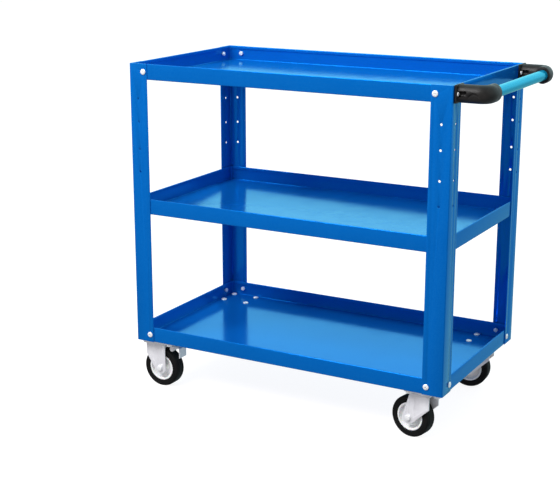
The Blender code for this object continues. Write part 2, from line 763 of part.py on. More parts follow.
def channel_mesh(low_x, high_x, crown_top):
    """A folded channel along X, open below: the sheet that a fork is pressed from."""
    bm = bmesh.new()
    size = Vector((high_x - low_x, 2 * FORK_HALF_WIDTH, crown_top))
    middle = Vector(((low_x + high_x) / 2, 0.0, crown_top / 2))
    bmesh.ops.create_cube(bm, size=1.0, matrix=Matrix.Translation(middle) @ Matrix.Diagonal((*size, 1.0)))
    spare = [face for face in bm.faces if abs(face.normal.x) > 0.5 or face.normal.z < -0.5]
    bmesh.ops.delete(bm, geom=spare, context="FACES")
    folds = [edge for edge in bm.edges if len(edge.link_faces) == 2]
    bmesh.ops.bevel(
        bm, geom=folds, offset=FORK_BEND_RADIUS, segments=FOLD_STEPS, profile=0.5, affect="EDGES"
    )
    return thickened(bm, FORK_THICKNESS)


def fork_mesh(outline, crown_top):
    """A pressed fork: a folded channel trimmed to a side outline."""
    beyond = FORK_HALF_WIDTH * 2
    channel = channel_mesh(-3 * WHEEL_RADIUS, 3 * WHEEL_RADIUS, crown_top)
    return joined(channel, [outline_mesh(outline, -beyond, beyond)], "INTERSECT")


def across(radius, x, z, reach, steps=SMALL_STEPS):
    """A rod along Y, centred on the wheel's plane."""
    return rod_mesh(radius, (x, -reach, z), (x, reach, z), steps)


def tyre_mesh():
    half = TYRE_WIDTH / 2
    outer = [
        (WHEEL_RADIUS - TYRE_SHOULDER, half),
        (WHEEL_RADIUS - TYRE_SHOULDER * 0.30, half - TYRE_SHOULDER * 0.30),
        (WHEEL_RADIUS, half - TYRE_SHOULDER),
    ]
    lower = [(radius, -height) for radius, height in reversed(outer)]
    bore = [(TYRE_BORE_RADIUS, -half + 0.001), (TYRE_BORE_RADIUS, half - 0.001)]
    return turned_mesh(outer + lower + bore, TURNED_STEPS, closed=True)


def wheel_mesh():
    """The wheel's one-piece centre: hub, web and rim, bored for the bush."""
    rim_radius = TYRE_BORE_RADIUS - SEAT_GAP
    rim_half = RIM_WIDTH / 2
    web_half = WEB_THICKNESS / 2
    hub_half = FORK_HALF_GAP - HUB_END_GAP
    upper = [
        (BUSH_RADIUS + RUNNING_GAP, hub_half),
        (HUB_RADIUS, hub_half),
        (HUB_RADIUS, web_half),
        (RIM_INNER_RADIUS, web_half),
        (RIM_INNER_RADIUS, rim_half),
        (rim_radius, rim_half),
    ]
    lower = [(radius, -height) for radius, height in reversed(upper)]
    return turned_mesh(upper + lower, TURNED_STEPS, closed=True)


def bush_mesh():
    half = FORK_HALF_GAP - SEAT_GAP
    bore = AXLE_RADIUS + SEAT_GAP
    wall = [(BUSH_RADIUS, half), (BUSH_RADIUS, -half), (bore, -half), (bore, half)]
    return turned_mesh(wall, SMALL_STEPS, closed=True)


def axle_mesh():
    """The axle bolt through both legs, with its nut; it lies along Y."""
    face = FORK_HALF_WIDTH + SEAT_GAP
    nut_end = face + AXLE_NUT_HEIGHT
    across_corners = AXLE_HEAD_ACROSS_FLATS / math.sqrt(3.0)
    shank = rod_mesh(
        AXLE_RADIUS, (0.0, -face - AXLE_HEAD_HEIGHT / 2, 0.0), (0.0, nut_end + AXLE_END_LENGTH, 0.0)
    )
    head = rod_mesh(across_corners, (0.0, -face - AXLE_HEAD_HEIGHT, 0.0), (0.0, -face, 0.0), 6)
    nut = rod_mesh(across_corners, (0.0, face, 0.0), (0.0, nut_end, 0.0), 6)
    return joined(shank, [head, nut])


def swivel_outline():
    """Side of a swivel fork: kingpin at x = 0 and the axle behind it."""
    axle = (-SWIVEL_TRAIL, WHEEL_RADIUS)
    above = CROWN_TOP + FORK_THICKNESS
    front_low = (CROWN_FRONT_REACH, CROWN_TOP - CROWN_FRONT_DEPTH)
    back_high = (-SWIVEL_TRAIL + 0.002, CROWN_TOP - FORK_BEND_RADIUS)
    start = tangent_angle(back_high, axle, LEG_END_RADIUS, 1) - 360.0
    end = tangent_angle(front_low, axle, LEG_END_RADIUS, -1)
    points = [(back_high[0], above), back_high]
    points += arc(axle, LEG_END_RADIUS, start + 360.0, end + 360.0, 10)
    points += [front_low, (CROWN_FRONT_REACH, above)]
    return points


def fixed_outline():
    """Side of a fixed fork: upright behind the axle, braced ahead of it."""
    axle = (0.0, WHEEL_RADIUS)
    above = PLATE_UNDERSIDE + 2 * FORK_THICKNESS
    brace = (-FIXED_BRACE_REACH, WHEEL_RADIUS + FIXED_BRACE_HEIGHT)
    start = tangent_angle(brace, axle, LEG_END_RADIUS, 1)
    points = [(-FIXED_BRACE_REACH, above), brace]
    points += arc(axle, LEG_END_RADIUS, start, 360.0, 10)
    points.append((LEG_END_RADIUS, above))
    return points


def make_wheel_set(name, parts, hub, fixed_to, meshes, y_turn=0.0):
    """Axle and bush on the fork, wheel and tyre on a pivot at the axle."""
    zinc = parts["zinc"]
    place(name + "_axle", meshes["axle"], zinc, hub, parent=fixed_to)
    place(name + "_bush", meshes["bush"], zinc, hub, (math.pi / 2, 0.0, 0.0), fixed_to)
    spin = pivot(name + "_spin", hub, (0.0, y_turn, 0.0), fixed_to)
    lie = (math.pi / 2, 0.0, 0.0)
    place(name + "_wheel", meshes["wheel"], parts["white_nylon"], (0.0, 0.0, 0.0), lie, spin)
    place(name + "_tyre", meshes["tyre"], parts["black_rubber"], (0.0, 0.0, 0.0), lie, spin)


def swivel_plate_mesh():
    """Top plate with a raised race below it and a stepped bore for the kingpin."""
    race_low = PLATE_UNDERSIDE - RACE_DEPTH
    race = turned_mesh([
        (0.0, PLATE_UNDERSIDE + PLATE_THICKNESS / 2),
        (RACE_RADIUS, PLATE_UNDERSIDE + PLATE_THICKNESS / 2),
        (RACE_RADIUS, PLATE_UNDERSIDE - RACE_DEPTH / 2),
        (RACE_RADIUS - RACE_DEPTH / 2, race_low),
        (0.0, race_low),
    ], TUBE_STEPS)
    counterbore = KINGPIN_HEAD_RADIUS + SEAT_GAP
    seat = PLATE_TOP - SEAT_GAP - KINGPIN_HEAD_HEIGHT - SEAT_GAP
    bore = turned_mesh([
        (0.0, PLATE_TOP + PLATE_THICKNESS),
        (counterbore, PLATE_TOP + PLATE_THICKNESS),
        (counterbore, seat),
        (KINGPIN_RADIUS + SEAT_GAP, seat),
        (KINGPIN_RADIUS + SEAT_GAP, race_low - PLATE_THICKNESS),
        (0.0, race_low - PLATE_THICKNESS),
    ], SMALL_STEPS)
    return cut(joined(plate_mesh(), [race]), [bore])


def kingpin_mesh():
    head_top = PLATE_TOP - SEAT_GAP
    head_low = head_top - KINGPIN_HEAD_HEIGHT
    tail_top = CROWN_TOP - FORK_THICKNESS - SEAT_GAP
    tail_low = tail_top - KINGPIN_TAIL_HEIGHT
    return turned_mesh([
        (0.0, head_top),
        (KINGPIN_HEAD_RADIUS, head_top),
        (KINGPIN_HEAD_RADIUS, head_low),
        (KINGPIN_RADIUS, head_low),
        (KINGPIN_RADIUS, tail_top),
        (KINGPIN_HEAD_RADIUS, tail_top),
        (KINGPIN_HEAD_RADIUS * 0.75, tail_low),
        (0.0, tail_low),
    ], SMALL_STEPS)


def make_swivel_casters(parts, meshes):
    plate = swivel_plate_mesh()
    kingpin = kingpin_mesh()
    ring = turned_mesh([
        (BALL_RING_RADIUS, BALL_RING_TOP),
        (BALL_RING_RADIUS, BALL_RING_TOP - BALL_RING_HEIGHT),
        (BALL_RING_BORE, BALL_RING_TOP - BALL_RING_HEIGHT),
        (BALL_RING_BORE, BALL_RING_TOP),
    ], TUBE_STEPS, closed=True)
    fork = cut(fork_mesh(swivel_outline(), CROWN_TOP), [
        rod_mesh(KINGPIN_RADIUS + RUNNING_GAP, (0.0, 0.0, CROWN_TOP + FORK_THICKNESS),
                 (0.0, 0.0, CROWN_TOP - 2 * FORK_THICKNESS)),
        across(AXLE_RADIUS + SEAT_GAP, -SWIVEL_TRAIL, WHEEL_RADIUS, 2 * FORK_HALF_WIDTH),
    ])
    angles = {"front_right": -FRONT_SWIVEL_ANGLE, "back_right": -BACK_SWIVEL_ANGLE}
    zinc = parts["zinc"]
    for corner, angle in angles.items():
        x, y = plate_centres()[corner]
        name = "caster_" + corner
        place(name + "_plate", plate, zinc, (x, y, 0.0))
        place(name + "_kingpin", kingpin, zinc, (x, y, 0.0))
        place(name + "_ball_ring", ring, zinc, (x, y, 0.0))
        swivel = pivot(name + "_swivel", (x, y, 0.0), (0.0, 0.0, angle))
        place(name + "_fork", fork, zinc, parent=swivel)
        hub = (-SWIVEL_TRAIL, 0.0, WHEEL_RADIUS)
        make_wheel_set(name, parts, hub, swivel, meshes)


def pedal_mesh():
    """The brake pedal, from its pivot at the origin: plate, folded lip, hub and shoe."""
    lip_x = PEDAL_REACH - BRAKE_PIVOT_X
    bm = bmesh.new()
    size = (lip_x + PEDAL_TAIL, 2 * PEDAL_HALF_WIDTH, PEDAL_LIP_DEPTH)
    middle = ((lip_x - PEDAL_TAIL) / 2, 0.0, -PEDAL_LIP_DEPTH / 2 + PEDAL_THICKNESS / 2)
    bmesh.ops.create_cube(
        bm, size=1.0, matrix=Matrix.Translation(middle) @ Matrix.Diagonal((*size, 1.0))
    )
    spare = [face for face in bm.faces if face.normal.z < 0.5 and face.normal.x < 0.5]
    bmesh.ops.delete(bm, geom=spare, context="FACES")
    for vert in bm.verts:
        if vert.co.z < -PEDAL_THICKNESS:
            vert.co.x -= PEDAL_LIP_RAKE
    fold = [edge for edge in bm.edges if len(edge.link_faces) == 2]
    bmesh.ops.bevel(
        bm, geom=fold, offset=PEDAL_FOLD_RADIUS, segments=FOLD_STEPS, profile=0.5, affect="EDGES"
    )
    plate = thickened(bm, PEDAL_THICKNESS)
    hub = across(BRAKE_HUB_RADIUS, 0.0, 0.0, PEDAL_HALF_WIDTH)
    shoe = across(
        SHOE_RADIUS, SHOE_X - BRAKE_PIVOT_X, SHOE_RISE - BRAKE_PIVOT_RISE, PEDAL_HALF_WIDTH * 0.9
    )
    bore = across(BRAKE_PIN_RADIUS + RUNNING_GAP, 0.0, 0.0, 2 * FORK_HALF_WIDTH)
    return cut(joined(plate, [hub, shoe]), [bore])


def brake_pin_mesh():
    face = FORK_HALF_WIDTH + SEAT_GAP
    end = face + BRAKE_PIN_HEAD_HEIGHT
    pin = across(BRAKE_PIN_RADIUS, 0.0, 0.0, end - BRAKE_PIN_HEAD_HEIGHT / 2)
    near = rod_mesh(BRAKE_PIN_HEAD_RADIUS, (0.0, -end, 0.0), (0.0, -face, 0.0))
    far = rod_mesh(BRAKE_PIN_HEAD_RADIUS, (0.0, face, 0.0), (0.0, end, 0.0))
    return joined(pin, [near, far])


def make_fixed_casters(parts, meshes):
    crown_top = PLATE_UNDERSIDE + FIXED_CROWN_OVERLAP
    pressed = fork_mesh(fixed_outline(), crown_top)
    pivot_z = WHEEL_RADIUS + BRAKE_PIVOT_RISE
    fork = cut(joined(plate_mesh(), [pressed]), [
        across(AXLE_RADIUS + SEAT_GAP, 0.0, WHEEL_RADIUS, 2 * FORK_HALF_WIDTH),
        across(BRAKE_PIN_RADIUS + SEAT_GAP, BRAKE_PIVOT_X, pivot_z, 2 * FORK_HALF_WIDTH),
    ])
    pedal = pedal_mesh()
    pin = brake_pin_mesh()
    zinc = parts["zinc"]
    for corner in ("front_left", "back_left"):
        x, y = plate_centres()[corner]
        name = "caster_" + corner
        mount = pivot(name + "_mount", (x, y, 0.0))
        place(name + "_fork", fork, zinc, parent=mount)
        make_wheel_set(name, parts, (0.0, 0.0, WHEEL_RADIUS), mount, meshes)
        place(name + "_brake_pin", pin, zinc, (BRAKE_PIVOT_X, 0.0, pivot_z), parent=mount)
        place(name + "_brake_pedal", pedal, zinc, (BRAKE_PIVOT_X, 0.0, pivot_z), parent=mount)


def main():
    clear_scene()
    parts = make_materials()
    paint = parts["blue_paint"]
    make_posts(paint)
    make_trays(paint)
    make_tray_bolts(parts["zinc"])
    make_handle(paint, parts["black_plastic"], parts["zinc"])
    wheel_parts = {
        "axle": axle_mesh(),
        "bush": bush_mesh(),
        "wheel": wheel_mesh(),
        "tyre": tyre_mesh(),
    }
    make_swivel_casters(parts, wheel_parts)
    make_fixed_casters(parts, wheel_parts)


main()
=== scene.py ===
"""Looks of the three-tray tool cart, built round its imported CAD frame."""
import json
import math

import bmesh
import bpy
from mathutils import Matrix, Vector


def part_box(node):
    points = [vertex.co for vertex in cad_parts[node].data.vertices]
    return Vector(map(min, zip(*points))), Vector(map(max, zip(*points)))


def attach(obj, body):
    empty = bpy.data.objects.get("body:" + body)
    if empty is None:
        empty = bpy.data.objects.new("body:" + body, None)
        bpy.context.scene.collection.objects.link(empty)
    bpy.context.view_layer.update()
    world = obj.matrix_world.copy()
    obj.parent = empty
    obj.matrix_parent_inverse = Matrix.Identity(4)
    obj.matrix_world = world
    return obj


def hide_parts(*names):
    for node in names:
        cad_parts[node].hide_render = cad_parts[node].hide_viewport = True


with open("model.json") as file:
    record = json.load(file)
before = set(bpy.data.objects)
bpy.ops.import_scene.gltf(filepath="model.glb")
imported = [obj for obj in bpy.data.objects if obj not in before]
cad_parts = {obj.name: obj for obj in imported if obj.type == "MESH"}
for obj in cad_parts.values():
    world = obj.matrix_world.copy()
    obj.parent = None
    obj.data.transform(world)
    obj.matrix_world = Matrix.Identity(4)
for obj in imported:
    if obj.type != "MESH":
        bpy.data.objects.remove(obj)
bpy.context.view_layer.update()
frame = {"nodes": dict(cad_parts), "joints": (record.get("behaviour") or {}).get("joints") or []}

# Sheet, gaps and fasteners of the CAD, which its boxes don't give
GAP = 0.0003
POST_SHEET = 0.0015
TRAY_SHEET = 0.0012
STACK = POST_SHEET + GAP + TRAY_SHEET
POST_BEND = 0.0030
TRAY_CORNER = 0.0060
TRAY_FOLD = 0.0025
HEM = 0.0018
HEM_DEPTH = 0.0060
BOLT_INSET = 0.040
HOLE_INSET = 0.024
HOLE_DROPS = (0.084, 0.140, 0.207, 0.263)
FORK_SHEET = 0.0025
FORK_BEND = 0.0040
FORK_FOOT_RADIUS = 0.016
SWIVEL_TRAIL = 0.038
PLATE_SHEET = 0.0030
PLATE_BOLT_X = 0.035
PLATE_BOLT_Y = 0.028
PLATE_BOLTS = (
    (-PLATE_BOLT_X, -PLATE_BOLT_Y), (PLATE_BOLT_X, -PLATE_BOLT_Y),
    (PLATE_BOLT_X, PLATE_BOLT_Y), (-PLATE_BOLT_X, PLATE_BOLT_Y),
)
CASTER_PLATES = {
    "front_left": "caster_front_left_fork", "back_left": "caster_back_left_fork",
    "front_right": "caster_front_right_plate", "back_right": "caster_back_right_plate",
}
BRACKET_INSET = 0.028
BRACKET_SCREW_SPREAD = 0.0145

# Radii of holes
HOLE_RADIUS = 0.0029
BOLT_HOLE = 0.0033
PLATE_HOLE = 0.0042
AXLE_HOLE = 0.0043

SMOOTH_ANGLE = math.radians(38.0)

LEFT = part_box("post_front_left")[0].x
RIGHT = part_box("post_front_right")[1].x
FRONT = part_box("post_front_left")[0].y
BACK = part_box("post_back_left")[1].y
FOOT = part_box("post_front_left")[0].z
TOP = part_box("post_front_left")[1].z
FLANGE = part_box("post_front_left")[1].x - LEFT


# ------------------------------------------------------------------ mesh helpers

def to_mesh(bm, name):
    mesh = bpy.data.meshes.new(name)
    bm.to_mesh(mesh)
    bm.free()
    return mesh


def from_mesh(mesh):
    bm = bmesh.new()
    bm.from_mesh(mesh)
    return bm


def scratch(name, data):
    made = bpy.data.objects.new(name, data)
    bpy.context.scene.collection.objects.link(made)
    return made


def baked(shape):
    """The mesh of a shape with its modifiers applied; the shape itself goes."""
    bpy.context.view_layer.update()
    graph = bpy.context.evaluated_depsgraph_get()
    mesh = bpy.data.meshes.new_from_object(shape.evaluated_get(graph))
    mesh.transform(shape.matrix_world)
    bpy.data.objects.remove(shape, do_unlink=True)
    return mesh


def welded(mesh, distance=0.00002):
    bm = from_mesh(mesh)
    bmesh.ops.remove_doubles(bm, verts=bm.verts, dist=distance)
    bmesh.ops.recalc_face_normals(bm, faces=bm.faces)
    bm.to_mesh(mesh)
    bm.free()
    return mesh


def moved(mesh, matrix):
    """A copy of a mesh under a matrix, its faces kept outwards in a mirror."""
    bm = from_mesh(mesh)
    bmesh.ops.transform(bm, matrix=matrix, verts=bm.verts)
    if matrix.determinant() < 0:
        bmesh.ops.reverse_faces(bm, faces=bm.faces)
    return to_mesh(bm, mesh.name)


def together(meshes):
    bm = bmesh.new()
    for mesh in meshes:
        bm.from_mesh(mesh)
    return to_mesh(bm, "together")


def softened(mesh, width, segments=2, angle=42.0):
    """Rounds the sharp edges of a mesh."""
    shape = scratch("softened", mesh)
    bevel = shape.modifiers.new("edges", "BEVEL")
    bevel.width = width
    bevel.segments = segments
    bevel.limit_method = "ANGLE"
    bevel.angle_limit = math.radians(angle)
    bevel.use_clamp_overlap = True
    return baked(shape)


def boolean(base, others, operation):
    shape = scratch("boolean", base)
    helpers = []
    for number, other in enumerate(others):
        helper = scratch("helper_%d" % number, other)
        helper.hide_render = True
        modifier = shape.modifiers.new("step_%d" % number, "BOOLEAN")
        modifier.operation = operation
        modifier.solver = "EXACT"
        modifier.object = helper
        helpers.append(helper)
    mesh = welded(baked(shape))
    for helper in helpers:
        bpy.data.objects.remove(helper, do_unlink=True)
    return mesh


def union(base, *others):
    return boolean(base, others, "UNION")


def cut(base, *others):
    return boolean(base, others, "DIFFERENCE")


def box_mesh(size, centre, rounding=0.0, upright_only=False, segments=4):
    bm = bmesh.new()
    matrix = Matrix.Translation(centre) @ Matrix.Diagonal((*size, 1.0))
    bmesh.ops.create_cube(bm, size=1.0, matrix=matrix)
    if rounding:
        edges = [e for e in bm.edges if not upright_only or upright(e)]
        bmesh.ops.bevel(
            bm, geom=edges, offset=rounding, segments=segments, profile=0.5, affect="EDGES",
        )
    return to_mesh(bm, "box")


def upright(edge):
    run = edge.verts[0].co - edge.verts[1].co
    return abs(run.x) < 1e-6 and abs(run.y) < 1e-6


def rod(radius, start, end, steps=24, end_radius=None):
    start, end = Vector(start), Vector(end)
    run = end - start
    bm = bmesh.new()
    turn = run.to_track_quat("Z", "Y").to_matrix().to_4x4()
    matrix = Matrix.Translation((start + end) / 2) @ turn
    bmesh.ops.create_cone(
        bm, cap_ends=True, segments=steps, radius1=radius,
        radius2=radius if end_radius is None else end_radius, depth=run.length, matrix=matrix,
    )
    return to_mesh(bm, "rod")


def turned(profile, steps=64, closed=False):
    """Turns (radius, height) points about Z; a solid's profile runs from its top to its foot."""
    bm = bmesh.new()
    rings = []
    for radius, height in profile:
        if radius < 1e-7:
            rings.append([bm.verts.new((0.0, 0.0, height))] * steps)
            continue
        rings.append([
            bm.verts.new((
                radius * math.cos(2 * math.pi * k / steps),
                radius * math.sin(2 * math.pi * k / steps), height,
            )) for k in range(steps)
        ])
    pairs = list(zip(rings, rings[1:]))
    if closed:
        pairs.append((rings[-1], rings[0]))
    for upper, lower in pairs:
        for k in range(steps):
            n = (k + 1) % steps
            corners = []
            for vert in (upper[k], lower[k], lower[n], upper[n]):
                if vert not in corners:
                    corners.append(vert)
            if len(corners) > 2:
                bm.faces.new(corners)
    bmesh.ops.recalc_face_normals(bm, faces=bm.faces)
    return to_mesh(bm, "turned")


def rounded_profile(points, radius, steps=4, closed=False):
    """Rounds each inner corner of a profile with a short curve."""
    made = []
    count = len(points)
    for index, point in enumerate(points):
        if not closed and index in (0, count - 1):
            made.append(point)
            continue
        here = Vector(point)
        before = Vector(points[index - 1]) - here
        after = Vector(points[(index + 1) % count]) - here
        reach = min(radius, before.length * 0.45, after.length * 0.45)
        first = here + before.normalized() * reach
        last = here + after.normalized() * reach
        for step in range(steps + 1):
            t = step / steps
            spot = first * (1 - t) ** 2 + here * 2 * t * (1 - t) + last * t * t
            made.append((spot.x, spot.y))
    return made


def extruded(points, low, high, axis="y"):
    """A flat outline extruded along Y from (x, z) points, or along Z from (x, y) points."""
    bm = bmesh.new()
    if axis == "y":
        ends = [[bm.verts.new((x, at, z)) for x, z in points] for at in (low, high)]
    else:
        ends = [[bm.verts.new((x, y, at)) for x, y in points] for at in (low, high)]
    bm.faces.new(ends[0])
    bm.faces.new(ends[1])
    count = len(points)
    for k in range(count):
        n = (k + 1) % count
        bm.faces.new((ends[0][k], ends[0][n], ends[1][n], ends[1][k]))
    bmesh.ops.recalc_face_normals(bm, faces=bm.faces)
    return to_mesh(bm, "extruded")


def arc(centre, radius, start, end, steps):
    turns = [math.radians(start + (end - start) * k / steps) for k in range(steps + 1)]
    return [(centre[0] + radius * math.cos(t), centre[1] + radius * math.sin(t)) for t in turns]


def touch_angle(point, centre, radius, side):
    """Angle in degrees where a line from a point touches a circle."""
    run = Vector(point) - Vector(centre)
    return math.degrees(math.atan2(run.y, run.x) + side * math.acos(radius / run.length))


def swept(path, radius, closed_ends=True, resolution=10, depth_scale=1.0):
    """A round section swept along (x, y) points, stretched in Z."""
    data = bpy.data.curves.new("swept", "CURVE")
    data.dimensions = "3D"
    data.bevel_depth = radius
    data.bevel_resolution = resolution
    data.use_fill_caps = closed_ends
    spline = data.splines.new("POLY")
    spline.points.add(len(path) - 1)
    for point, (x, y) in zip(spline.points, path):
        point.co = (x, y, 0.0, 1.0)
    mesh = welded(baked(scratch("swept", data)))
    mesh.transform(Matrix.Diagonal((1.0, 1.0, depth_scale, 1.0)))
    return mesh


def thickened(bm, thickness):
    shape = scratch("sheet", to_mesh(bm, "sheet"))
    solidify = shape.modifiers.new("thickness", "SOLIDIFY")
    solidify.thickness = thickness
    solidify.offset = -1.0
    solidify.use_even_offset = True
    return baked(shape)


# ------------------------------------------------------------------ materials

class Nodes:
    """Small wrapper that adds and links shader nodes."""

    def __init__(self, name):
        self.material = bpy.data.materials.new(name)
        self.material.use_nodes = True
        self.tree = self.material.node_tree
        self.shader = self.tree.nodes["Principled BSDF"]
        self.place = self.add("ShaderNodeTexCoord").outputs["Object"]

    def add(self, kind, **settings):
        node = self.tree.nodes.new(kind)
        for key, value in settings.items():
            setattr(node, key, value)
        return node

    def link(self, source, target):
        self.tree.links.new(source, target)

    def noise(self, scale, detail=3.0, roughness=0.5, stretch=None):
        node = self.add("ShaderNodeTexNoise")
        node.inputs["Scale"].default_value = scale
        node.inputs["Detail"].default_value = detail
        node.inputs["Roughness"].default_value = roughness
        source = self.place
        if stretch:
            mapping = self.add("ShaderNodeMapping")
            mapping.inputs["Scale"].default_value = stretch
            self.link(self.place, mapping.inputs["Vector"])
            source = mapping.outputs["Vector"]
        self.link(source, node.inputs["Vector"])
        return node.outputs["Fac"]

    def cells(self, scale, output="Distance"):
        node = self.add("ShaderNodeTexVoronoi")
        node.inputs["Scale"].default_value = scale
        self.link(self.place, node.inputs["Vector"])
        return node.outputs[output]

    def spread(self, source, low, high, out_low=0.0, out_high=1.0):
        node = self.add("ShaderNodeMapRange")
        node.inputs["From Min"].default_value = low
        node.inputs["From Max"].default_value = high
        node.inputs["To Min"].default_value = out_low
        node.inputs["To Max"].default_value = out_high
        self.link(source, node.inputs["Value"])
        return node.outputs["Result"]

    def maths(self, operation, first, second):
        node = self.add("ShaderNodeMath", operation=operation)
        for socket, value in zip(node.inputs, (first, second)):
            if isinstance(value, (int, float)):
                socket.default_value = value
            else:
                self.link(value, socket)
        return node.outputs["Value"]

    def mix(self, share, first, second):
        node = self.add("ShaderNodeMix", data_type="RGBA")
        sockets = [s for s in node.inputs if s.enabled]
        for socket, value in zip(sockets, (share, first, second)):
            if isinstance(value, (int, float)):
                socket.default_value = value
            elif isinstance(value, tuple):
                socket.default_value = (*value, 1.0)
            else:
                self.link(value, socket)
        return [s for s in node.outputs if s.enabled][0]

    def edges(self, radius):
        """1 at a piece's outer edges and 0 on its flats."""
        bevel = self.add("ShaderNodeBevel", samples=4)
        bevel.inputs["Radius"].default_value = radius
        geometry = self.add("ShaderNodeNewGeometry")
        dot = self.add("ShaderNodeVectorMath", operation="DOT_PRODUCT")
        self.link(bevel.outputs["Normal"], dot.inputs[0])
        self.link(geometry.outputs["Normal"], dot.inputs[1])
        return self.spread(dot.outputs["Value"], 0.995, 0.80)

    def bump(self, *layers):
        """Stacks (height, distance, strength) layers of bump."""
        last = None
        for height, distance, strength in layers:
            node = self.add("ShaderNodeBump")
            node.inputs["Strength"].default_value = strength
            node.inputs["Distance"].default_value = distance
            self.link(height, node.inputs["Height"])
            if last is not None:
                self.link(last, node.inputs["Normal"])
            last = node.outputs["Normal"]
        self.link(last, self.shader.inputs["Normal"])

    def set(self, **values):
        for key, value in values.items():
            socket = self.shader.inputs[key.replace("_", " ")]
            if isinstance(value, bpy.types.NodeSocket):
                self.link(value, socket)
            elif isinstance(value, tuple):
                socket.default_value = (*value, 1.0) if len(value) == 3 else value
            else:
                socket.default_value = value


def paint_material(name, colour, lighter, darker):
    """Glossy powder coat: faint orange peel, cloudy depth, and edges painted a little paler, partly
    as wear and partly as a painted highlight along them.
    """
    n = Nodes(name)
    cloud = n.spread(n.noise(7.0, 4.0, 0.55), 0.30, 0.70)
    speck = n.spread(n.noise(420.0, 2.0, 0.6), 0.40, 0.62)
    base = n.mix(n.maths("MULTIPLY", cloud, 0.40), colour, darker)
    base = n.mix(n.maths("MULTIPLY", speck, 0.10), base, lighter)
    # Paler edges: part edge wear, part painted highlight where the edges catch light.
    paler_edges = n.maths("MULTIPLY", n.edges(0.0016), n.spread(n.noise(60.0, 5.0, 0.7), 0.35, 0.70))
    base = n.mix(n.maths("MULTIPLY", paler_edges, 0.42), base, lighter)
    rough = n.spread(n.noise(26.0, 4.0, 0.6), 0.25, 0.75, 0.105, 0.185)
    n.set(Base_Color=base, Roughness=rough, Metallic=0.45, IOR=1.5)
    n.set(Specular_Tint=(0.02, 1.0, 0.80), Specular_IOR_Level=0.10, Coat_Weight=0.0)
    n.bump((n.noise(150.0, 2.0, 0.4), 0.0002, 0.10), (n.noise(900.0, 1.0, 0.4), 0.00008, 0.06))
    return n.material


def plastic_material():
    """Black moulded nylon with a fine spark-eroded grain."""
    n = Nodes("moulded_black")
    cloud = n.spread(n.noise(35.0, 4.0, 0.6), 0.30, 0.70)
    base = n.mix(cloud, (0.010, 0.0095, 0.0095), (0.022, 0.020, 0.019))
    paler_edges = n.maths("MULTIPLY", n.edges(0.0012), n.spread(n.noise(160.0, 4.0, 0.7), 0.35, 0.75))
    base = n.mix(n.maths("MULTIPLY", paler_edges, 0.5), base, (0.075, 0.070, 0.066))
    n.set(Base_Color=base, Roughness=n.spread(n.noise(90.0, 3.0, 0.6), 0.3, 0.7, 0.34, 0.50))
    n.set(Metallic=0.0, IOR=1.46, Specular_IOR_Level=0.22)
    n.bump((n.cells(1500.0), 0.00006, 0.35), (n.noise(300.0, 3.0, 0.5), 0.0001, 0.15))
    return n.material


def zinc_material():
    """Bright zinc plate over pressed steel, brushed a little and clouded, with a painted highlight
    along its edges.
    """
    n = Nodes("zinc_plate")
    cloud = n.spread(n.noise(38.0, 4.0, 0.6), 0.30, 0.72)
    base = n.mix(cloud, (0.90, 0.885, 0.92), (0.77, 0.755, 0.80))
    lines = n.noise(240.0, 3.0, 0.6, stretch=(1.0, 1.0, 0.08))
    base = n.mix(n.maths("MULTIPLY", n.spread(lines, 0.35, 0.65), 0.16), base, (0.90, 0.90, 0.93))
    stain = n.spread(n.noise(95.0, 5.0, 0.7), 0.62, 0.78)
    base = n.mix(n.maths("MULTIPLY", stain, 0.30), base, (0.42, 0.40, 0.42))
    # Painted highlight: every edge made lighter, as if catching the light.
    painted_edge_highlight = n.edges(0.0010)
    base = n.mix(n.maths("MULTIPLY", painted_edge_highlight, 0.35), base, (0.95, 0.95, 0.97))
    n.set(Base_Color=base, Roughness=n.spread(lines, 0.3, 0.7, 0.26, 0.42), Metallic=0.30)
    n.bump((lines, 0.00008, 0.16), (n.noise(700.0, 2.0, 0.5), 0.00005, 0.10))
    return n.material


def chrome_material():
    """Bright plated screw heads, with light handling marks."""
    n = Nodes("bright_plate")
    cloud = n.spread(n.noise(180.0, 3.0, 0.6), 0.30, 0.70)
    base = n.mix(cloud, (0.97, 0.97, 0.98), (0.88, 0.88, 0.90))
    n.set(Base_Color=base, Roughness=n.spread(n.noise(500.0, 3.0, 0.6), 0.3, 0.7, 0.14, 0.26))
    n.set(Metallic=0.25)
    n.bump((n.noise(900.0, 2.0, 0.5), 0.00005, 0.10))
    return n.material


def nylon_material():
    """White moulded wheel centres, slightly translucent, with grey rolling dirt."""
    n = Nodes("moulded_white")
    cloud = n.spread(n.noise(30.0, 4.0, 0.6), 0.35, 0.70)
    base = n.mix(cloud, (0.88, 0.88, 0.88), (0.80, 0.80, 0.81))
    dirt = n.spread(n.noise(120.0, 5.0, 0.7), 0.58, 0.80)
    base = n.mix(n.maths("MULTIPLY", dirt, 0.22), base, (0.45, 0.44, 0.43))
    n.set(Base_Color=base, Roughness=n.spread(n.noise(70.0, 3.0, 0.6), 0.3, 0.7, 0.30, 0.44))
    n.set(Metallic=0.0, Subsurface_Weight=0.08, Subsurface_Scale=0.004)
    n.bump((n.noise(260.0, 3.0, 0.5), 0.00012, 0.14), (n.cells(1300.0), 0.00004, 0.12))
    return n.material


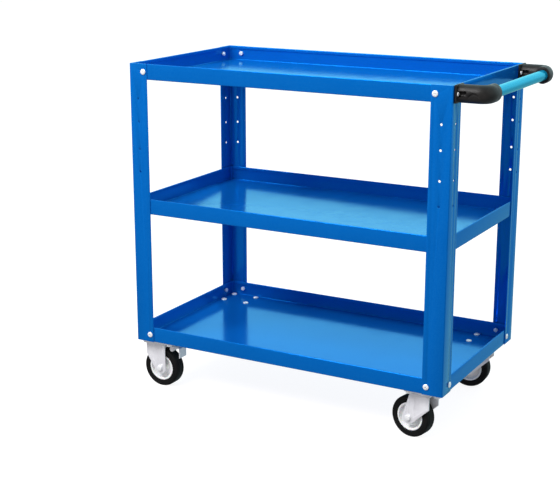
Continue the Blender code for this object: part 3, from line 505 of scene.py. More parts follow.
def rubber_material():
    """Black solid rubber: matt, dusty on its tread, with a faint bloom."""
    n = Nodes("solid_rubber")
    cloud = n.spread(n.noise(48.0, 5.0, 0.65), 0.32, 0.72)
    base = n.mix(cloud, (0.0040, 0.0040, 0.0043), (0.0085, 0.0085, 0.0088))
    dust = n.spread(n.noise(210.0, 5.0, 0.7), 0.55, 0.80)
    base = n.mix(n.maths("MULTIPLY", dust, 0.16), base, (0.050, 0.048, 0.046))
    n.set(Base_Color=base, Roughness=n.spread(n.noise(80.0, 3.0, 0.6), 0.3, 0.7, 0.50, 0.68))
    n.set(Metallic=0.0, IOR=1.5, Specular_IOR_Level=0.10)
    n.bump((n.noise(520.0, 4.0, 0.6), 0.00015, 0.30), (n.cells(900.0), 0.00006, 0.18))
    return n.material


PAINT = paint_material(
    "blue_powder_coat", (0.0015, 0.150, 0.580), (0.030, 0.300, 0.760), (0.0008, 0.118, 0.500),
)
# The same blue paint made lighter and more cyan for the handle tube: painted light from the right
# and above, and a painted cyan sky reflection.
TUBE_PAINT_WITH_PAINTED_LIGHT = paint_material(
    "blue_tube_coat_painted_light", (0.0020, 0.330, 0.600), (0.040, 0.460, 0.780), (0.0015, 0.280, 0.540),
)
PLASTIC = plastic_material()
ZINC = zinc_material()
CHROME = chrome_material()
NYLON = nylon_material()
RUBBER = rubber_material()


def piece(name, mesh, material, body="cart", replaces=(), matrix=Matrix.Identity(4)):
    """A finished piece: shaded, given its material, riding on its body."""
    mesh = moved(mesh, matrix)
    mesh.name = name
    mesh.materials.clear()
    mesh.materials.append(material)
    mesh.shade_smooth()
    mesh.set_sharp_from_angle(angle=SMOOTH_ANGLE)
    made = bpy.data.objects.new(name, mesh)
    bpy.context.scene.collection.objects.link(made)
    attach(made, body)
    if replaces:
        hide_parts(*replaces)
    return made


# ------------------------------------------------------------------ posts and trays

def post_mesh(end_bolts):
    """An angle post in its own axes: corner at the origin, flanges along +X and +Y."""
    height = TOP - FOOT
    inner_bend = POST_BEND - POST_SHEET
    outline = [(FLANGE, 0.0), (FLANGE, POST_SHEET)]
    outline += arc((POST_BEND, POST_BEND), inner_bend, 270.0, 180.0, 6)
    outline += [(POST_SHEET, FLANGE), (0.0, FLANGE)]
    outline += arc((POST_BEND, POST_BEND), POST_BEND, 180.0, 270.0, 8)
    sheet = extruded(outline, 0.0, height, "z")
    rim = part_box("tray_top")[1].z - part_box("tray_top")[0].z
    low, high = rim / 2, height - rim / 2
    cutters = []
    for drop in HOLE_DROPS:
        level = height - drop
        cutters.append(rod(HOLE_RADIUS, (HOLE_INSET, -0.01, level), (HOLE_INSET, 0.01, level), 28))
        cutters.append(rod(HOLE_RADIUS, (-0.01, HOLE_INSET, level), (0.01, HOLE_INSET, level), 28))
    for level in (low, high):
        cutters.append(rod(BOLT_HOLE, (BOLT_INSET, -0.01, level), (BOLT_INSET, 0.01, level), 24))
    for inset, level in [(BOLT_INSET, low)] + end_bolts:
        cutters.append(rod(BOLT_HOLE, (-0.01, inset, level), (0.01, inset, level), 24))
    return softened(cut(sheet, together(cutters)), 0.00025, 2, 55.0)


def corner_matrix(end, side):
    """From a post's own axes to its corner of the cart."""
    origin = Vector((LEFT if end == "left" else RIGHT, FRONT if side == "front" else BACK, FOOT))
    x_sign = 1.0 if end == "left" else -1.0
    y_sign = 1.0 if side == "front" else -1.0
    flip = Matrix.Diagonal((x_sign, y_sign, 1.0, 1.0))
    return Matrix.Translation(origin) @ flip


def make_posts():
    height = TOP - FOOT
    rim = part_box("tray_top")[1].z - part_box("tray_top")[0].z
    screw_boxes = [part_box("handle_screw_front_" + which) for which in ("outer", "inner")]
    screws = [((low.y + high.y) / 2 - FRONT, (low.z + high.z) / 2 - FOOT)
              for low, high in screw_boxes]
    plain = post_mesh([(BOLT_INSET, height - rim / 2)])
    under_handle = post_mesh(screws)
    for end, mesh in (("left", plain), ("right", under_handle)):
        for side in ("front", "back"):
            name = "post_%s_%s" % (side, end)
            piece(name + "_sheet", mesh, PAINT, replaces=[name], matrix=corner_matrix(end, side))


def tray_mesh(low, high, hole_sets):
    """A pan with rounded corners and a rim folded over inwards."""
    half_x, half_y = (high.x - low.x) / 2, (high.y - low.y) / 2
    wall = high.z - low.z - HEM
    middle = Vector(((high.x + low.x) / 2, (high.y + low.y) / 2, low.z))
    bm = bmesh.new()
    size = Matrix.Diagonal((2 * half_x, 2 * half_y, wall, 1.0))
    bmesh.ops.create_cube(bm, size=1.0, matrix=Matrix.Translation((0.0, 0.0, wall / 2)) @ size)
    bmesh.ops.delete(bm, geom=[f for f in bm.faces if f.normal.z > 0.5], context="FACES")
    uprights = [e for e in bm.edges if upright(e)]
    bmesh.ops.bevel(bm, geom=uprights, offset=TRAY_CORNER, segments=8, profile=0.5, affect="EDGES")
    floor_edges = [e for e in bm.edges
                   if all(v.co.z < 1e-6 for v in e.verts) and len(e.link_faces) == 2]
    bmesh.ops.bevel(bm, geom=floor_edges, offset=TRAY_FOLD, segments=5, profile=0.5, affect="EDGES")
    steps = 8
    rings = [(HEM * (1 - math.cos(math.pi * k / steps)), wall + HEM * math.sin(math.pi * k / steps))
             for k in range(1, steps + 1)]
    rings.append((2 * HEM, wall - HEM_DEPTH))
    old = 0.0
    core_x, core_y = half_x - TRAY_CORNER, half_y - TRAY_CORNER
    for inset, level in rings:
        rim = [e for e in bm.edges if e.is_boundary]
        grown = bmesh.ops.extrude_edge_only(bm, edges=rim)["geom"]
        for vert in [g for g in grown if isinstance(g, bmesh.types.BMVert)]:
            core = Vector((
                max(-core_x, min(core_x, vert.co.x)), max(-core_y, min(core_y, vert.co.y)),
                vert.co.z,
            ))
            vert.co = core + (vert.co - core) * (TRAY_CORNER - inset) / (TRAY_CORNER - old)
            vert.co.z = level
        old = inset
    bmesh.ops.recalc_face_normals(bm, faces=bm.faces)
    floor = min(bm.faces, key=lambda f: f.calc_center_median().z)
    if floor.normal.z > 0:
        bmesh.ops.reverse_faces(bm, faces=bm.faces)
    mesh = moved(thickened(bm, TRAY_SHEET), Matrix.Translation(middle))
    if hole_sets:
        mesh = cut(mesh, together(hole_sets))
    return mesh


def centre_of(node):
    low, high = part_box(node)
    return (low + high) / 2


def fastener_holes(level):
    """Rods through the rim at each fastener of a tray."""
    holes = []
    for node in frame["nodes"]:
        is_bolt = node.startswith("bolt_" + level)
        if not is_bolt and not (level == "top" and node.startswith("handle_screw")):
            continue
        spot = centre_of(node)
        if node.endswith("on_side"):
            y = FRONT if spot.y < 0 else BACK
            holes.append(rod(BOLT_HOLE, (spot.x, y - 0.02, spot.z), (spot.x, y + 0.02, spot.z)))
        else:
            x = LEFT if spot.x < 0 else RIGHT
            holes.append(rod(BOLT_HOLE, (x - 0.008, spot.y, spot.z), (x + 0.008, spot.y, spot.z)))
    return holes


# ------------------------------------------------------------------ fasteners

def hex_mesh(across_flats, low, high):
    """A hexagon nut or head along Z, its corners turned off at both ends."""
    radius = across_flats / math.sqrt(3.0)
    prism = rod(radius, (0, 0, low), (0, 0, high), 6)
    chamfer = (high - low) * 0.16
    turned_stock = turned([
        (0.0, high), (across_flats * 0.49, high), (radius * 1.01, high - chamfer),
        (radius * 1.01, low + chamfer), (across_flats * 0.49, low), (0.0, low),
    ], 48)
    return softened(boolean(prism, [turned_stock], "INTERSECT"), 0.00012, 1)


def threaded_end(radius, top, tail):
    """A rod's end with turned thread grooves and a chamfered tip."""
    pitch = radius * 0.32
    profile = [(0.0, top), (radius, top)]
    level = top
    while level - pitch > tail + radius * 0.25:
        profile.append((radius * 0.86, level - pitch / 2))
        profile.append((radius, level - pitch))
        level -= pitch
    profile += [(radius * 0.78, tail), (0.0, tail)]
    return turned(profile, 32)


def round_head(radius, height, low, cross):
    """A domed head with a cross recess, standing on Z = low."""
    dome = [(0.0, low + height)]
    for k in range(1, 8):
        turn = math.radians(90.0 * k / 8)
        dome.append((radius * math.sin(turn), low + height * (0.22 + 0.78 * math.cos(turn))))
    dome += [(radius, low + height * 0.16), (radius * 0.97, low), (0.0, low)]
    head = turned(dome, 48)
    slots = []
    for turn in (0.0, math.pi / 2):
        blade = box_mesh((cross * 2, cross * 0.34, height), (0.0, 0.0, low + height * 0.95))
        slots.append(moved(blade, Matrix.Rotation(turn, 4, "Z")))
    centre = rod(
        cross * 0.30, (0, 0, low + height * 0.30), (0, 0, low + height * 1.5), 16, cross * 0.62,
    )
    return cut(head, slots[0], slots[1], centre)


def bolt_mesh(radius, head_radius, head_height, stack, nut_flats, nut_height, tail_length, cross):
    """Head outside, nut inside; Z = 0 is the face the head sits on."""
    head = round_head(head_radius, head_height, GAP, cross)
    nut_top = -stack - GAP
    nut = hex_mesh(nut_flats, nut_top - nut_height, nut_top)
    shank = threaded_end(radius, GAP + head_height * 0.2, nut_top - nut_height - tail_length)
    return union(head, shank, nut)


FACING = {
    "front": Matrix.Rotation(math.pi / 2, 4, "X"),
    "back": Matrix.Rotation(-math.pi / 2, 4, "X"),
    "left": Matrix.Rotation(-math.pi / 2, 4, "Y"),
    "right": Matrix.Rotation(math.pi / 2, 4, "Y"),
}


def make_tray_bolts():
    low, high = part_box("bolt_top_front_left_on_side")
    head_radius = (high.x - low.x) / 2
    mesh = bolt_mesh(0.0030, head_radius, 0.0033, STACK, 0.0100, 0.0050, 0.0010, head_radius * 0.42)
    number = 0
    for node in sorted(frame["nodes"]):
        if not node.startswith("bolt_"):
            continue
        spot = centre_of(node)
        words = node.split("_")
        if node.endswith("on_side"):
            spot.y = FRONT if words[2] == "front" else BACK
            facing = FACING[words[2]]
        else:
            spot.x = LEFT if words[3] == "left" else RIGHT
            facing = FACING[words[3]]
        spin = Matrix.Rotation(math.radians(37.0 * number), 4, "Z")
        at = Matrix.Translation(spot) @ facing @ spin
        piece(node + "_set", mesh, CHROME, replaces=[node], matrix=at)
        number += 1


def make_plate_bolts():
    """The bolts that hold the caster plates up to the bottom tray, heads on its floor."""
    tray_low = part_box("tray_bottom")[0].z
    stack = TRAY_SHEET + GAP + PLATE_SHEET
    mesh = bolt_mesh(0.0040, 0.0075, 0.0038, stack, 0.0130, 0.0048, 0.0006, 0.0030)
    number = 0
    for corner, node in CASTER_PLATES.items():
        centre = centre_of(node)
        for dx, dy in PLATE_BOLTS:
            spot = Vector((centre.x + dx, centre.y + dy, tray_low + TRAY_SHEET))
            spin = Matrix.Rotation(math.radians(53.0 * number), 4, "Z")
            name = "plate_bolt_%s_%d" % (corner, number % 4 + 1)
            piece(name, mesh, CHROME, matrix=Matrix.Translation(spot) @ spin)
            number += 1


def plate_hole_rods():
    tray_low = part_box("tray_bottom")[0].z
    holes = []
    for node in CASTER_PLATES.values():
        centre = centre_of(node)
        for dx, dy in PLATE_BOLTS:
            x, y = centre.x + dx, centre.y + dy
            holes.append(rod(PLATE_HOLE, (x, y, tray_low - 0.003), (x, y, tray_low + 0.004), 28))
    return holes


def make_trays():
    sets = {
        "tray_top": fastener_holes("top"),
        "tray_middle": [],
        "tray_bottom": fastener_holes("bottom") + plate_hole_rods(),
    }
    for node, holes in sets.items():
        low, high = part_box(node)
        piece(node + "_pan", tray_mesh(low, high, holes), PAINT, replaces=[node])


# ------------------------------------------------------------------ handle

def make_handle():
    tube_low, tube_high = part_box("handle_tube")
    axis_x = (tube_low.x + tube_high.x) / 2
    axis_z = (tube_low.z + tube_high.z) / 2
    radius = (tube_high.z - tube_low.z) / 2
    half = (tube_high.y - tube_low.y) / 2
    wall = 0.0015
    tube = turned(
        [(radius, half), (radius, -half), (radius - wall, -half), (radius - wall, half)], 96, True,
    )
    lie = Matrix.Translation((axis_x, 0.0, axis_z)) @ Matrix.Rotation(math.pi / 2, 4, "X")
    # The tube wears the lighter, more cyan copy of the paint, which is painted light.
    piece("handle_tube_skin", tube, TUBE_PAINT_WITH_PAINTED_LIGHT, replaces=["handle_tube"], matrix=lie)

    low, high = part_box("handle_bracket_front")
    centre_y = FRONT + BRACKET_INSET
    reach = axis_x - RIGHT
    arm = high.x - RIGHT - reach
    half_height = (high.z - low.z) / 2
    bend = 0.020
    mouth = high.y - centre_y
    path = [(0.0015, 0.0), (0.012, 0.0), ((reach - bend) * 0.6, 0.0)]
    path += arc((reach - bend, bend), bend, -90.0, 0.0, 16)
    path += [(reach, (bend + mouth) / 2), (reach, mouth)]
    body = swept(path, arm, resolution=12, depth_scale=half_height / arm)
    base_thickness = 0.0050
    base = box_mesh(
        (base_thickness, 0.044, 2 * half_height), (GAP + base_thickness / 2, 0.0, 0.0), 0.0019,
    )
    whole = union(base, body)
    base_face = GAP + base_thickness
    spreads = (-BRACKET_SCREW_SPREAD, BRACKET_SCREW_SPREAD)
    pockets = []
    for spread in spreads:
        mouth_end = (base_face + 0.020, spread, 0.0)
        pockets.append(rod(0.0068, (base_face, spread, 0.0), mouth_end, 32, 0.0072))
    whole = cut(whole, *pockets)
    bores = [rod(0.0028, (-0.01, s, 0.0), (0.012, s, 0.0), 20) for s in spreads]
    bores.append(rod(radius + GAP, (reach, mouth - 0.024, 0.0), (reach, mouth + 0.01, 0.0), 72))
    whole = cut(whole, together(bores))
    arch_x = reach - bend - 0.004
    outer = -arm
    arch = [(arch_x + x, z) for x, z in arc((0.0, -0.009), 0.0135, 8.0, 172.0, 20)]
    arch += [(arch_x + x, z) for x, z in arc((0.0, -0.0145), 0.0135, 155.0, 25.0, 16)]
    groove = extruded(arch, outer - 0.002, outer + 0.0022)
    whole = cut(whole, groove)
    whole = softened(whole, 0.0005, 2, 50.0)
    place = Matrix.Translation((RIGHT, centre_y, axis_z))
    mirror = Matrix.Diagonal((1.0, -1.0, 1.0, 1.0))
    piece("handle_elbow_front", whole, PLASTIC, replaces=["handle_bracket_front"], matrix=place)
    piece("handle_elbow_back", whole, PLASTIC, replaces=["handle_bracket_back"],
          matrix=mirror @ place)

    screw_low, screw_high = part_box("handle_screw_front_outer")
    head_radius = (screw_high.y - screw_low.y) / 2
    screw = bolt_mesh(
        0.0025, head_radius, 0.0030, base_face + STACK, 0.0080, 0.0040, 0.0010,
        head_radius * 0.45,
    )
    for side in ("front", "back"):
        for which in ("outer", "inner"):
            node = "handle_screw_%s_%s" % (side, which)
            spot = centre_of(node)
            spot.x = RIGHT + base_face
            spin = Matrix.Rotation(0.6 if which == "outer" else 1.2, 4, "Z")
            piece(node + "_set", screw, CHROME, replaces=[node],
                  matrix=Matrix.Translation(spot) @ FACING["right"] @ spin)


# ------------------------------------------------------------------ casters

def plate_mesh(low, high, underside):
    """Caster plate with rounded corners and four bolt holes, in its own axes in X and Y."""
    size = (high.x - low.x, high.y - low.y, high.z - underside)
    plate = box_mesh(size, (0.0, 0.0, (high.z + underside) / 2), 0.008, True, 10)
    holes = [rod(PLATE_HOLE, (dx, dy, high.z + 0.005), (dx, dy, underside - 0.005), 32)
             for dx in (-PLATE_BOLT_X, PLATE_BOLT_X) for dy in (-PLATE_BOLT_Y, PLATE_BOLT_Y)]
    return softened(cut(plate, together(holes)), 0.0005, 3, 50.0)


def channel_mesh(low_x, high_x, half_width, crown_top):
    """A folded sheet channel, open below, that a fork is cut from."""
    bm = bmesh.new()
    size = (high_x - low_x, 2 * half_width, crown_top)
    middle = ((low_x + high_x) / 2, 0.0, crown_top / 2)
    matrix = Matrix.Translation(middle) @ Matrix.Diagonal((*size, 1.0))
    bmesh.ops.create_cube(bm, size=1.0, matrix=matrix)
    spare = [f for f in bm.faces if abs(f.normal.x) > 0.5 or f.normal.z < -0.5]
    bmesh.ops.delete(bm, geom=spare, context="FACES")
    folds = [e for e in bm.edges if len(e.link_faces) == 2]
    bmesh.ops.bevel(bm, geom=folds, offset=FORK_BEND, segments=8, profile=0.5, affect="EDGES")
    return thickened(bm, FORK_SHEET)


def across(radius, x, z, reach, steps=28):
    return rod(radius, (x, -reach, z), (x, reach, z), steps)


def stepped(fork, outline, half_width, depth=0.0008):
    """Sets an outlined area of both legs inwards a little, as a pressed step."""
    near = extruded(outline, -half_width - 0.004, -half_width + depth)
    far = extruded(outline, half_width - depth, half_width + 0.004)
    return cut(fork, together([near, far]))


def tyre_mesh(radius, half, bore):
    shoulder = 0.0052
    groove = 0.0011
    upper = [(bore, half - 0.0008), (bore + 0.0012, half), (radius - shoulder - 0.0030, half),
             (radius - shoulder - 0.0022, half - 0.0007), (radius - shoulder - 0.0012, half)]
    for k in range(0, 7):
        turn = math.radians(90.0 * k / 6)
        upper.append((
            radius - shoulder + shoulder * math.sin(turn),
            half - shoulder + shoulder * math.cos(turn),
        ))
    upper += [(radius, half - shoulder - 0.0012), (radius - groove, half - shoulder - 0.0018),
              (radius - groove, half - shoulder - 0.0030), (radius, half - shoulder - 0.0036)]
    profile = upper + [(r, -h) for r, h in reversed(upper)]
    return turned(profile, 128, closed=True)


def wheel_mesh(rim_radius, rim_half, hub_half, bore):
    """One moulding: rim with a lip, dished web, hub with a raised collar."""
    upper = [
        (bore, hub_half), (0.0098, hub_half), (0.0098, hub_half - 0.0022),
        (0.0130, hub_half - 0.0022),
        (0.0136, 0.0062), (0.0185, 0.0046), (0.0240, 0.0046), (0.0285, 0.0070),
        (0.0292, rim_half - 0.0016), (0.0300, rim_half), (rim_radius - 0.0006, rim_half),
        (rim_radius, rim_half - 0.0006),
    ]
    upper = rounded_profile(upper, 0.0010, 3)
    profile = upper + [(r, -h) for r, h in reversed(upper)]
    return turned(profile, 112, closed=True)


def axle_mesh(half_width, length_low, length_high):
    """Hex-headed axle bolt with washers and a nut; it lies along Y."""
    face = half_width + GAP
    head = hex_mesh(0.0130, face + 0.0012, length_low)
    nut = hex_mesh(0.0130, face + 0.0012, face + 0.0065)
    shank = threaded_end(0.0040, length_high, -face)
    outline = [(0.0, face + 0.0012), (0.0078, face + 0.0012), (0.0078, face), (0.0, face)]
    washer = turned(rounded_profile(outline, 0.0003, 2), 40)
    flip = Matrix.Rotation(math.pi, 4, "X")
    head = moved(head, flip)
    other_washer = moved(washer, flip)
    core = rod(0.0040, (0, 0, -face - 0.003), (0, 0, length_high - 0.006), 32)
    return union(core, head, nut, washer, other_washer, shank)


def body_matrix(joint_name):
    """Turns a mesh built along +X to the rest angle of a roll joint's axis."""
    joint = [j for j in frame["joints"] if j["name"] == joint_name][0]
    axis = Vector(joint["axis"])
    angle = math.atan2(-axis.x, axis.y)
    return Matrix.Translation(Vector(joint["pos_m"])) @ Matrix.Rotation(angle, 4, "Z")


def make_wheels(corner, wheel, tyre, axle, fork_body):
    at = body_matrix(corner + "_roll")
    lie = Matrix.Rotation(math.pi / 2, 4, "X")
    node = "caster_" + corner
    piece(node + "_core", wheel, NYLON, corner + "_wheel", [node + "_wheel"], at @ lie)
    piece(node + "_tread", tyre, RUBBER, corner + "_wheel", [node + "_tyre"], at @ lie)
    upright_nut = Matrix.Rotation(-math.pi / 2, 4, "X")
    piece(node + "_axle_bolt", axle, CHROME, fork_body, [node + "_axle"], at @ upright_nut)


def make_casters():
    tyre_low, tyre_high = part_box("caster_front_left_tyre")
    radius = (tyre_high.z - tyre_low.z) / 2
    half = (tyre_high.y - tyre_low.y) / 2
    hub_low, hub_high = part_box("caster_front_left_wheel")
    rim_radius = (hub_high.z - hub_low.z) / 2 - 0.0001
    hub_half = (hub_high.y - hub_low.y) / 2
    wheel = wheel_mesh(rim_radius, half - 0.0010, hub_half, 0.0067)
    tyre = tyre_mesh(radius, half, 0.0343)
    half_width = half + 0.0030 + FORK_SHEET
    axle = axle_mesh(half_width, half_width + GAP + 0.0050, half_width + GAP + 0.0080)
    make_swivels(wheel, tyre, axle, radius, half_width)
    make_fixed(wheel, tyre, axle, radius, half_width)


def make_swivels(wheel, tyre, axle, radius, half_width):
    for corner in ("front_right", "back_right"):
        node = "caster_" + corner
        plate_low, plate_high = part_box(node + "_plate")
        kingpin = centre_of(node + "_plate")
        underside = plate_high.z - PLATE_SHEET
        plate = plate_mesh(plate_low, plate_high, underside)
        race_low = plate_low.z
        race = turned(rounded_profile([
            (0.0, underside + 0.001), (0.0270, underside + 0.001), (0.0270, underside - 0.0022),
            (0.0250, race_low), (0.0, race_low),
        ], 0.0016, 5), 80)
        pin_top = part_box(node + "_kingpin")[1].z
        bore = turned([(0.0, plate_high.z + 0.002), (0.0093, plate_high.z + 0.002),
                       (0.0093, pin_top - 0.0025), (0.0063, pin_top - 0.0025),
                       (0.0063, race_low - 0.002), (0.0, race_low - 0.002)], 40)
        plate = cut(union(plate, race), bore)
        at = Matrix.Translation((kingpin.x, kingpin.y, 0.0))
        piece(node + "_top_plate", plate, ZINC, replaces=[node + "_plate"], matrix=at)

        crown_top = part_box(node + "_fork")[1].z
        roll = body_matrix(corner + "_roll")
        axle_at = (-SWIVEL_TRAIL, radius)
        front_low = (0.017, crown_top - 0.033)
        back_high = (-SWIVEL_TRAIL + 0.002, crown_top - FORK_BEND)
        start = touch_angle(back_high, axle_at, FORK_FOOT_RADIUS, 1)
        end = touch_angle(front_low, axle_at, FORK_FOOT_RADIUS, -1)
        above = crown_top + 0.005
        outline = [(back_high[0], above), back_high]
        outline += arc(axle_at, FORK_FOOT_RADIUS, start, end + 360.0, 28)
        outline += [front_low, (front_low[0], above)]
        fork = channel_mesh(-0.1, 0.1, half_width, crown_top)
        fork = boolean(fork, [extruded(outline, -0.06, 0.06)], "INTERSECT")
        gusset = [
            (-SWIVEL_TRAIL + 0.0155, crown_top - 0.010), (-SWIVEL_TRAIL + 0.0155, radius + 0.004),
            (front_low[0] - 0.0045, front_low[1] + 0.0030),
            (front_low[0] - 0.0045, crown_top - 0.010),
        ]
        fork = stepped(fork, gusset, half_width)
        fork = cut(fork, together([
            rod(0.0064, (0, 0, crown_top + 0.003), (0, 0, crown_top - 0.006), 32),
            across(AXLE_HOLE, -SWIVEL_TRAIL, radius, half_width + 0.004),
        ]))
        fork = softened(fork, 0.0004, 2, 50.0)
        turn = roll.to_3x3().to_4x4()
        piece(node + "_yoke", fork, ZINC, corner + "_fork", [node + "_fork"],
              Matrix.Translation((kingpin.x, kingpin.y, 0.0)) @ turn)
        make_wheels(corner, wheel, tyre, axle, corner + "_fork")


def make_fixed(wheel, tyre, axle, radius, half_width):
    for corner in ("front_left", "back_left"):
        node = "caster_" + corner
        low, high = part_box(node + "_fork")
        centre = centre_of(node + "_fork")
        underside = high.z - PLATE_SHEET
        plate = plate_mesh(low, high, underside)
        crown_top = underside + 0.0010
        axle_at = (0.0, radius)
        brace = (-0.040, radius + 0.034)
        start = touch_angle(brace, axle_at, FORK_FOOT_RADIUS, 1)
        outline = [(brace[0], crown_top + 0.004), brace]
        outline += arc(axle_at, FORK_FOOT_RADIUS, start, 360.0, 28)
        outline.append((FORK_FOOT_RADIUS, crown_top + 0.004))
        fork = channel_mesh(-0.1, 0.1, half_width, crown_top)
        fork = boolean(fork, [extruded(outline, -0.06, 0.06)], "INTERSECT")
        gusset = [
            (-0.0150, crown_top - 0.010), (-0.0355, crown_top - 0.010),
            (-0.0355, brace[1] + 0.0035), (-0.0150, radius + 0.0130),
        ]
        fork = stepped(fork, gusset, half_width)
        pin = centre_of(node + "_brake_pin")
        fork = cut(fork, together([
            across(AXLE_HOLE, 0.0, radius, half_width + 0.004),
            across(0.0028, pin.x - centre.x, pin.z, half_width + 0.004),
        ]))
        fork = union(plate, softened(fork, 0.0004, 2, 50.0))
        at = Matrix.Translation((centre.x, centre.y, 0.0))
        piece(node + "_yoke", fork, ZINC, replaces=[node + "_fork"], matrix=at)
        make_wheels(corner, wheel, tyre, axle, "cart")
        make_brake(corner, half_width)


def make_brake(corner, half_width):
    node = "caster_" + corner
    pin_low, pin_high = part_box(node + "_brake_pin")
    pin = centre_of(node + "_brake_pin")
    length = (pin_high.y - pin_low.y) / 2
    face = half_width + GAP
    head = [
        (0.0, length), (0.0022, length - 0.0002), (0.0038, length - 0.0009), (0.0045, face),
        (0.0025, face),
    ]
    profile = head + [(r, -h) for r, h in reversed(head)]
    rivet = turned(profile, 40)
    lie = Matrix.Translation(pin) @ Matrix.Rotation(math.pi / 2, 4, "X")
    piece(node + "_brake_rivet", rivet, CHROME, replaces=[node + "_brake_pin"], matrix=lie)

    low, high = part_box(node + "_brake_pedal")
    half = (high.y - low.y) / 2
    sheet = 0.0025
    tip = high.x - pin.x
    tail = low.x - pin.x
    drop = pin.z - low.z
    fold = 0.0045
    outer = [(tail, sheet / 2)]
    outer += arc((tip - fold, sheet / 2 - fold), fold, 90.0, 0.0, 8)
    outer.append((tip, -drop))
    inner = [(tip - sheet, -drop)]
    inner += arc((tip - fold, sheet / 2 - fold), fold - sheet, 0.0, 90.0, 8)
    inner.append((tail, -sheet / 2))
    plate = extruded(outer + inner, -half, half)
    hub = rod(0.0050, (0, -half, 0), (0, half, 0), 32)
    shoe_z = -0.0065
    shoe = rod(0.0062, (0.020, -half * 0.9, shoe_z), (0.020, half * 0.9, shoe_z), 32)
    pedal = union(plate, hub, shoe)
    ribs = []
    rib_z = sheet / 2 + 0.0003
    for k in range(4):
        x = tip - 0.012 - 0.0045 * k
        ribs.append(rod(0.0007, (x, -half * 0.82, rib_z), (x, half * 0.82, rib_z), 12))
    pedal = cut(pedal, together(ribs + [across(0.0029, 0.0, 0.0, half + 0.004)]))
    pedal = softened(pedal, 0.0004, 2, 50.0)
    piece(node + "_foot_pedal", pedal, ZINC, corner + "_brake_pedal", [node + "_brake_pedal"],
          Matrix.Translation(pin))


# ------------------------------------------------------------------ stage

def make_stage():
    bm = bmesh.new()
    bmesh.ops.create_circle(bm, cap_ends=True, segments=96, radius=14.0)
    floor = bpy.data.objects.new("floor", to_mesh(bm, "floor"))
    material = bpy.data.materials.new("pale_floor")
    material.use_nodes = True
    shader = material.node_tree.nodes["Principled BSDF"]
    shader.inputs["Base Color"].default_value = (0.26, 0.22, 0.215, 1.0)
    shader.inputs["Roughness"].default_value = 0.85
    shader.inputs["Specular IOR Level"].default_value = 0.1
    shader.inputs["Emission Color"].default_value = (1.0, 1.0, 1.0, 1.0)
    shader.inputs["Emission Strength"].default_value = 0.90
    floor.data.materials.append(material)
    floor.visible_glossy = False
    floor.visible_diffuse = False
    bpy.context.scene.collection.objects.link(floor)


def soft_light(name, place, target, size, power, colour):
    data = bpy.data.lights.new(name, "AREA")
    data.shape = "RECTANGLE"
    data.size, data.size_y = size
    data.energy = power
    data.color = colour
    light = bpy.data.objects.new(name, data)
    light.location = place
    light.rotation_euler = (Vector(target) - Vector(place)).to_track_quat("-Z", "Y").to_euler()
    bpy.context.scene.collection.objects.link(light)


SKY = {
    "front_up": (0.46, 0.46, 0.47), "back_up": (0.98, 1.36, 1.42),
    "front_down": (0.42, 0.42, 0.43), "back_down": (0.46, 0.59, 0.61),
}
SKY_SIDE_BLEND = 0.50
SKY_LEVEL_BLEND = 0.14


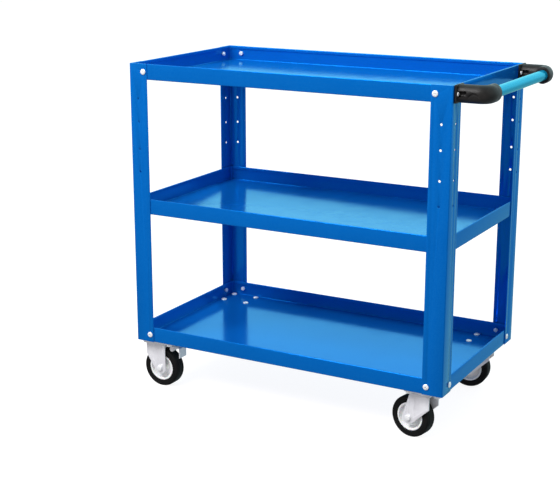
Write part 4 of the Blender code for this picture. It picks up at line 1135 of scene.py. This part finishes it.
def make_world():
    """White to the camera; the cart is lit by four soft quarters, those behind it blue-green."""
    world = bpy.data.worlds.new("studio")
    bpy.context.scene.world = world
    world.use_nodes = True
    tree = world.node_tree
    background = tree.nodes["Background"]
    output = tree.nodes["World Output"]
    background.inputs["Color"].default_value = (1.0, 1.0, 1.0, 1.0)
    background.inputs["Strength"].default_value = 1.0
    lit = tree.nodes.new("ShaderNodeBackground")
    coordinates = tree.nodes.new("ShaderNodeTexCoord")
    split = tree.nodes.new("ShaderNodeSeparateXYZ")
    tree.links.new(coordinates.outputs["Generated"], split.inputs["Vector"])

    def blend(axis, reach, first, second):
        ramp = tree.nodes.new("ShaderNodeMapRange")
        ramp.inputs["From Min"].default_value = -reach
        ramp.inputs["From Max"].default_value = reach
        tree.links.new(split.outputs[axis], ramp.inputs["Value"])
        mix = tree.nodes.new("ShaderNodeMix")
        mix.data_type = "RGBA"
        sockets = [s for s in mix.inputs if s.enabled]
        tree.links.new(ramp.outputs["Result"], sockets[0])
        for socket, value in zip(sockets[1:], (first, second)):
            if isinstance(value, tuple):
                socket.default_value = (*value, 1.0)
            else:
                tree.links.new(value, socket)
        return [s for s in mix.outputs if s.enabled][0]

    upper = blend("Y", SKY_SIDE_BLEND, SKY["front_up"], SKY["back_up"])
    lower = blend("Y", SKY_SIDE_BLEND, SKY["front_down"], SKY["back_down"])
    sky = blend("Z", SKY_LEVEL_BLEND, lower, upper)
    tree.links.new(sky, lit.inputs["Color"])
    lit.inputs["Strength"].default_value = 1.0
    path = tree.nodes.new("ShaderNodeLightPath")
    chooser = tree.nodes.new("ShaderNodeMixShader")
    tree.links.new(path.outputs["Is Camera Ray"], chooser.inputs["Fac"])
    tree.links.new(lit.outputs["Background"], chooser.inputs[1])
    tree.links.new(background.outputs["Background"], chooser.inputs[2])
    tree.links.new(chooser.outputs["Shader"], output.inputs["Surface"])


CAMERA_PLACE = (1.355, -2.7401, 1.1893)
CAMERA_YAW = 29.094
CAMERA_PITCH = 15.2
CAMERA_LENS = 81.946


def make_camera():
    data = bpy.data.cameras.new("camera")
    data.sensor_fit = "HORIZONTAL"
    data.sensor_width = 36.0
    data.lens = CAMERA_LENS
    data.clip_end = 100.0
    camera = bpy.data.objects.new("camera", data)
    camera.location = CAMERA_PLACE
    camera.rotation_euler = (math.radians(90.0 - CAMERA_PITCH), 0.0, math.radians(CAMERA_YAW))
    bpy.context.scene.collection.objects.link(camera)
    bpy.context.scene.camera = camera


def finish_kept_nodes():
    """CAD nodes that stay are inner parts of the casters, plated like the rest."""
    for node in frame["nodes"].values():
        if node.hide_render:
            continue
        node.data.materials.clear()
        node.data.materials.append(ZINC)


make_posts()
make_trays()
make_tray_bolts()
make_plate_bolts()
make_handle()
make_casters()
finish_kept_nodes()
make_stage()
make_world()
soft_light("key", (-0.9, -2.4, 3.0), (0.0, 0.0, 0.4), (2.2, 1.6), 156.0, (1.0, 1.0, 1.0))
soft_light("side", (2.4, -0.2, 1.5), (0.0, 0.0, 0.5), (1.2, 1.6), 3.0, (1.0, 0.95, 0.85))
make_camera()

view = bpy.context.scene.view_settings
view.view_transform = "Standard"
view.look = "None"
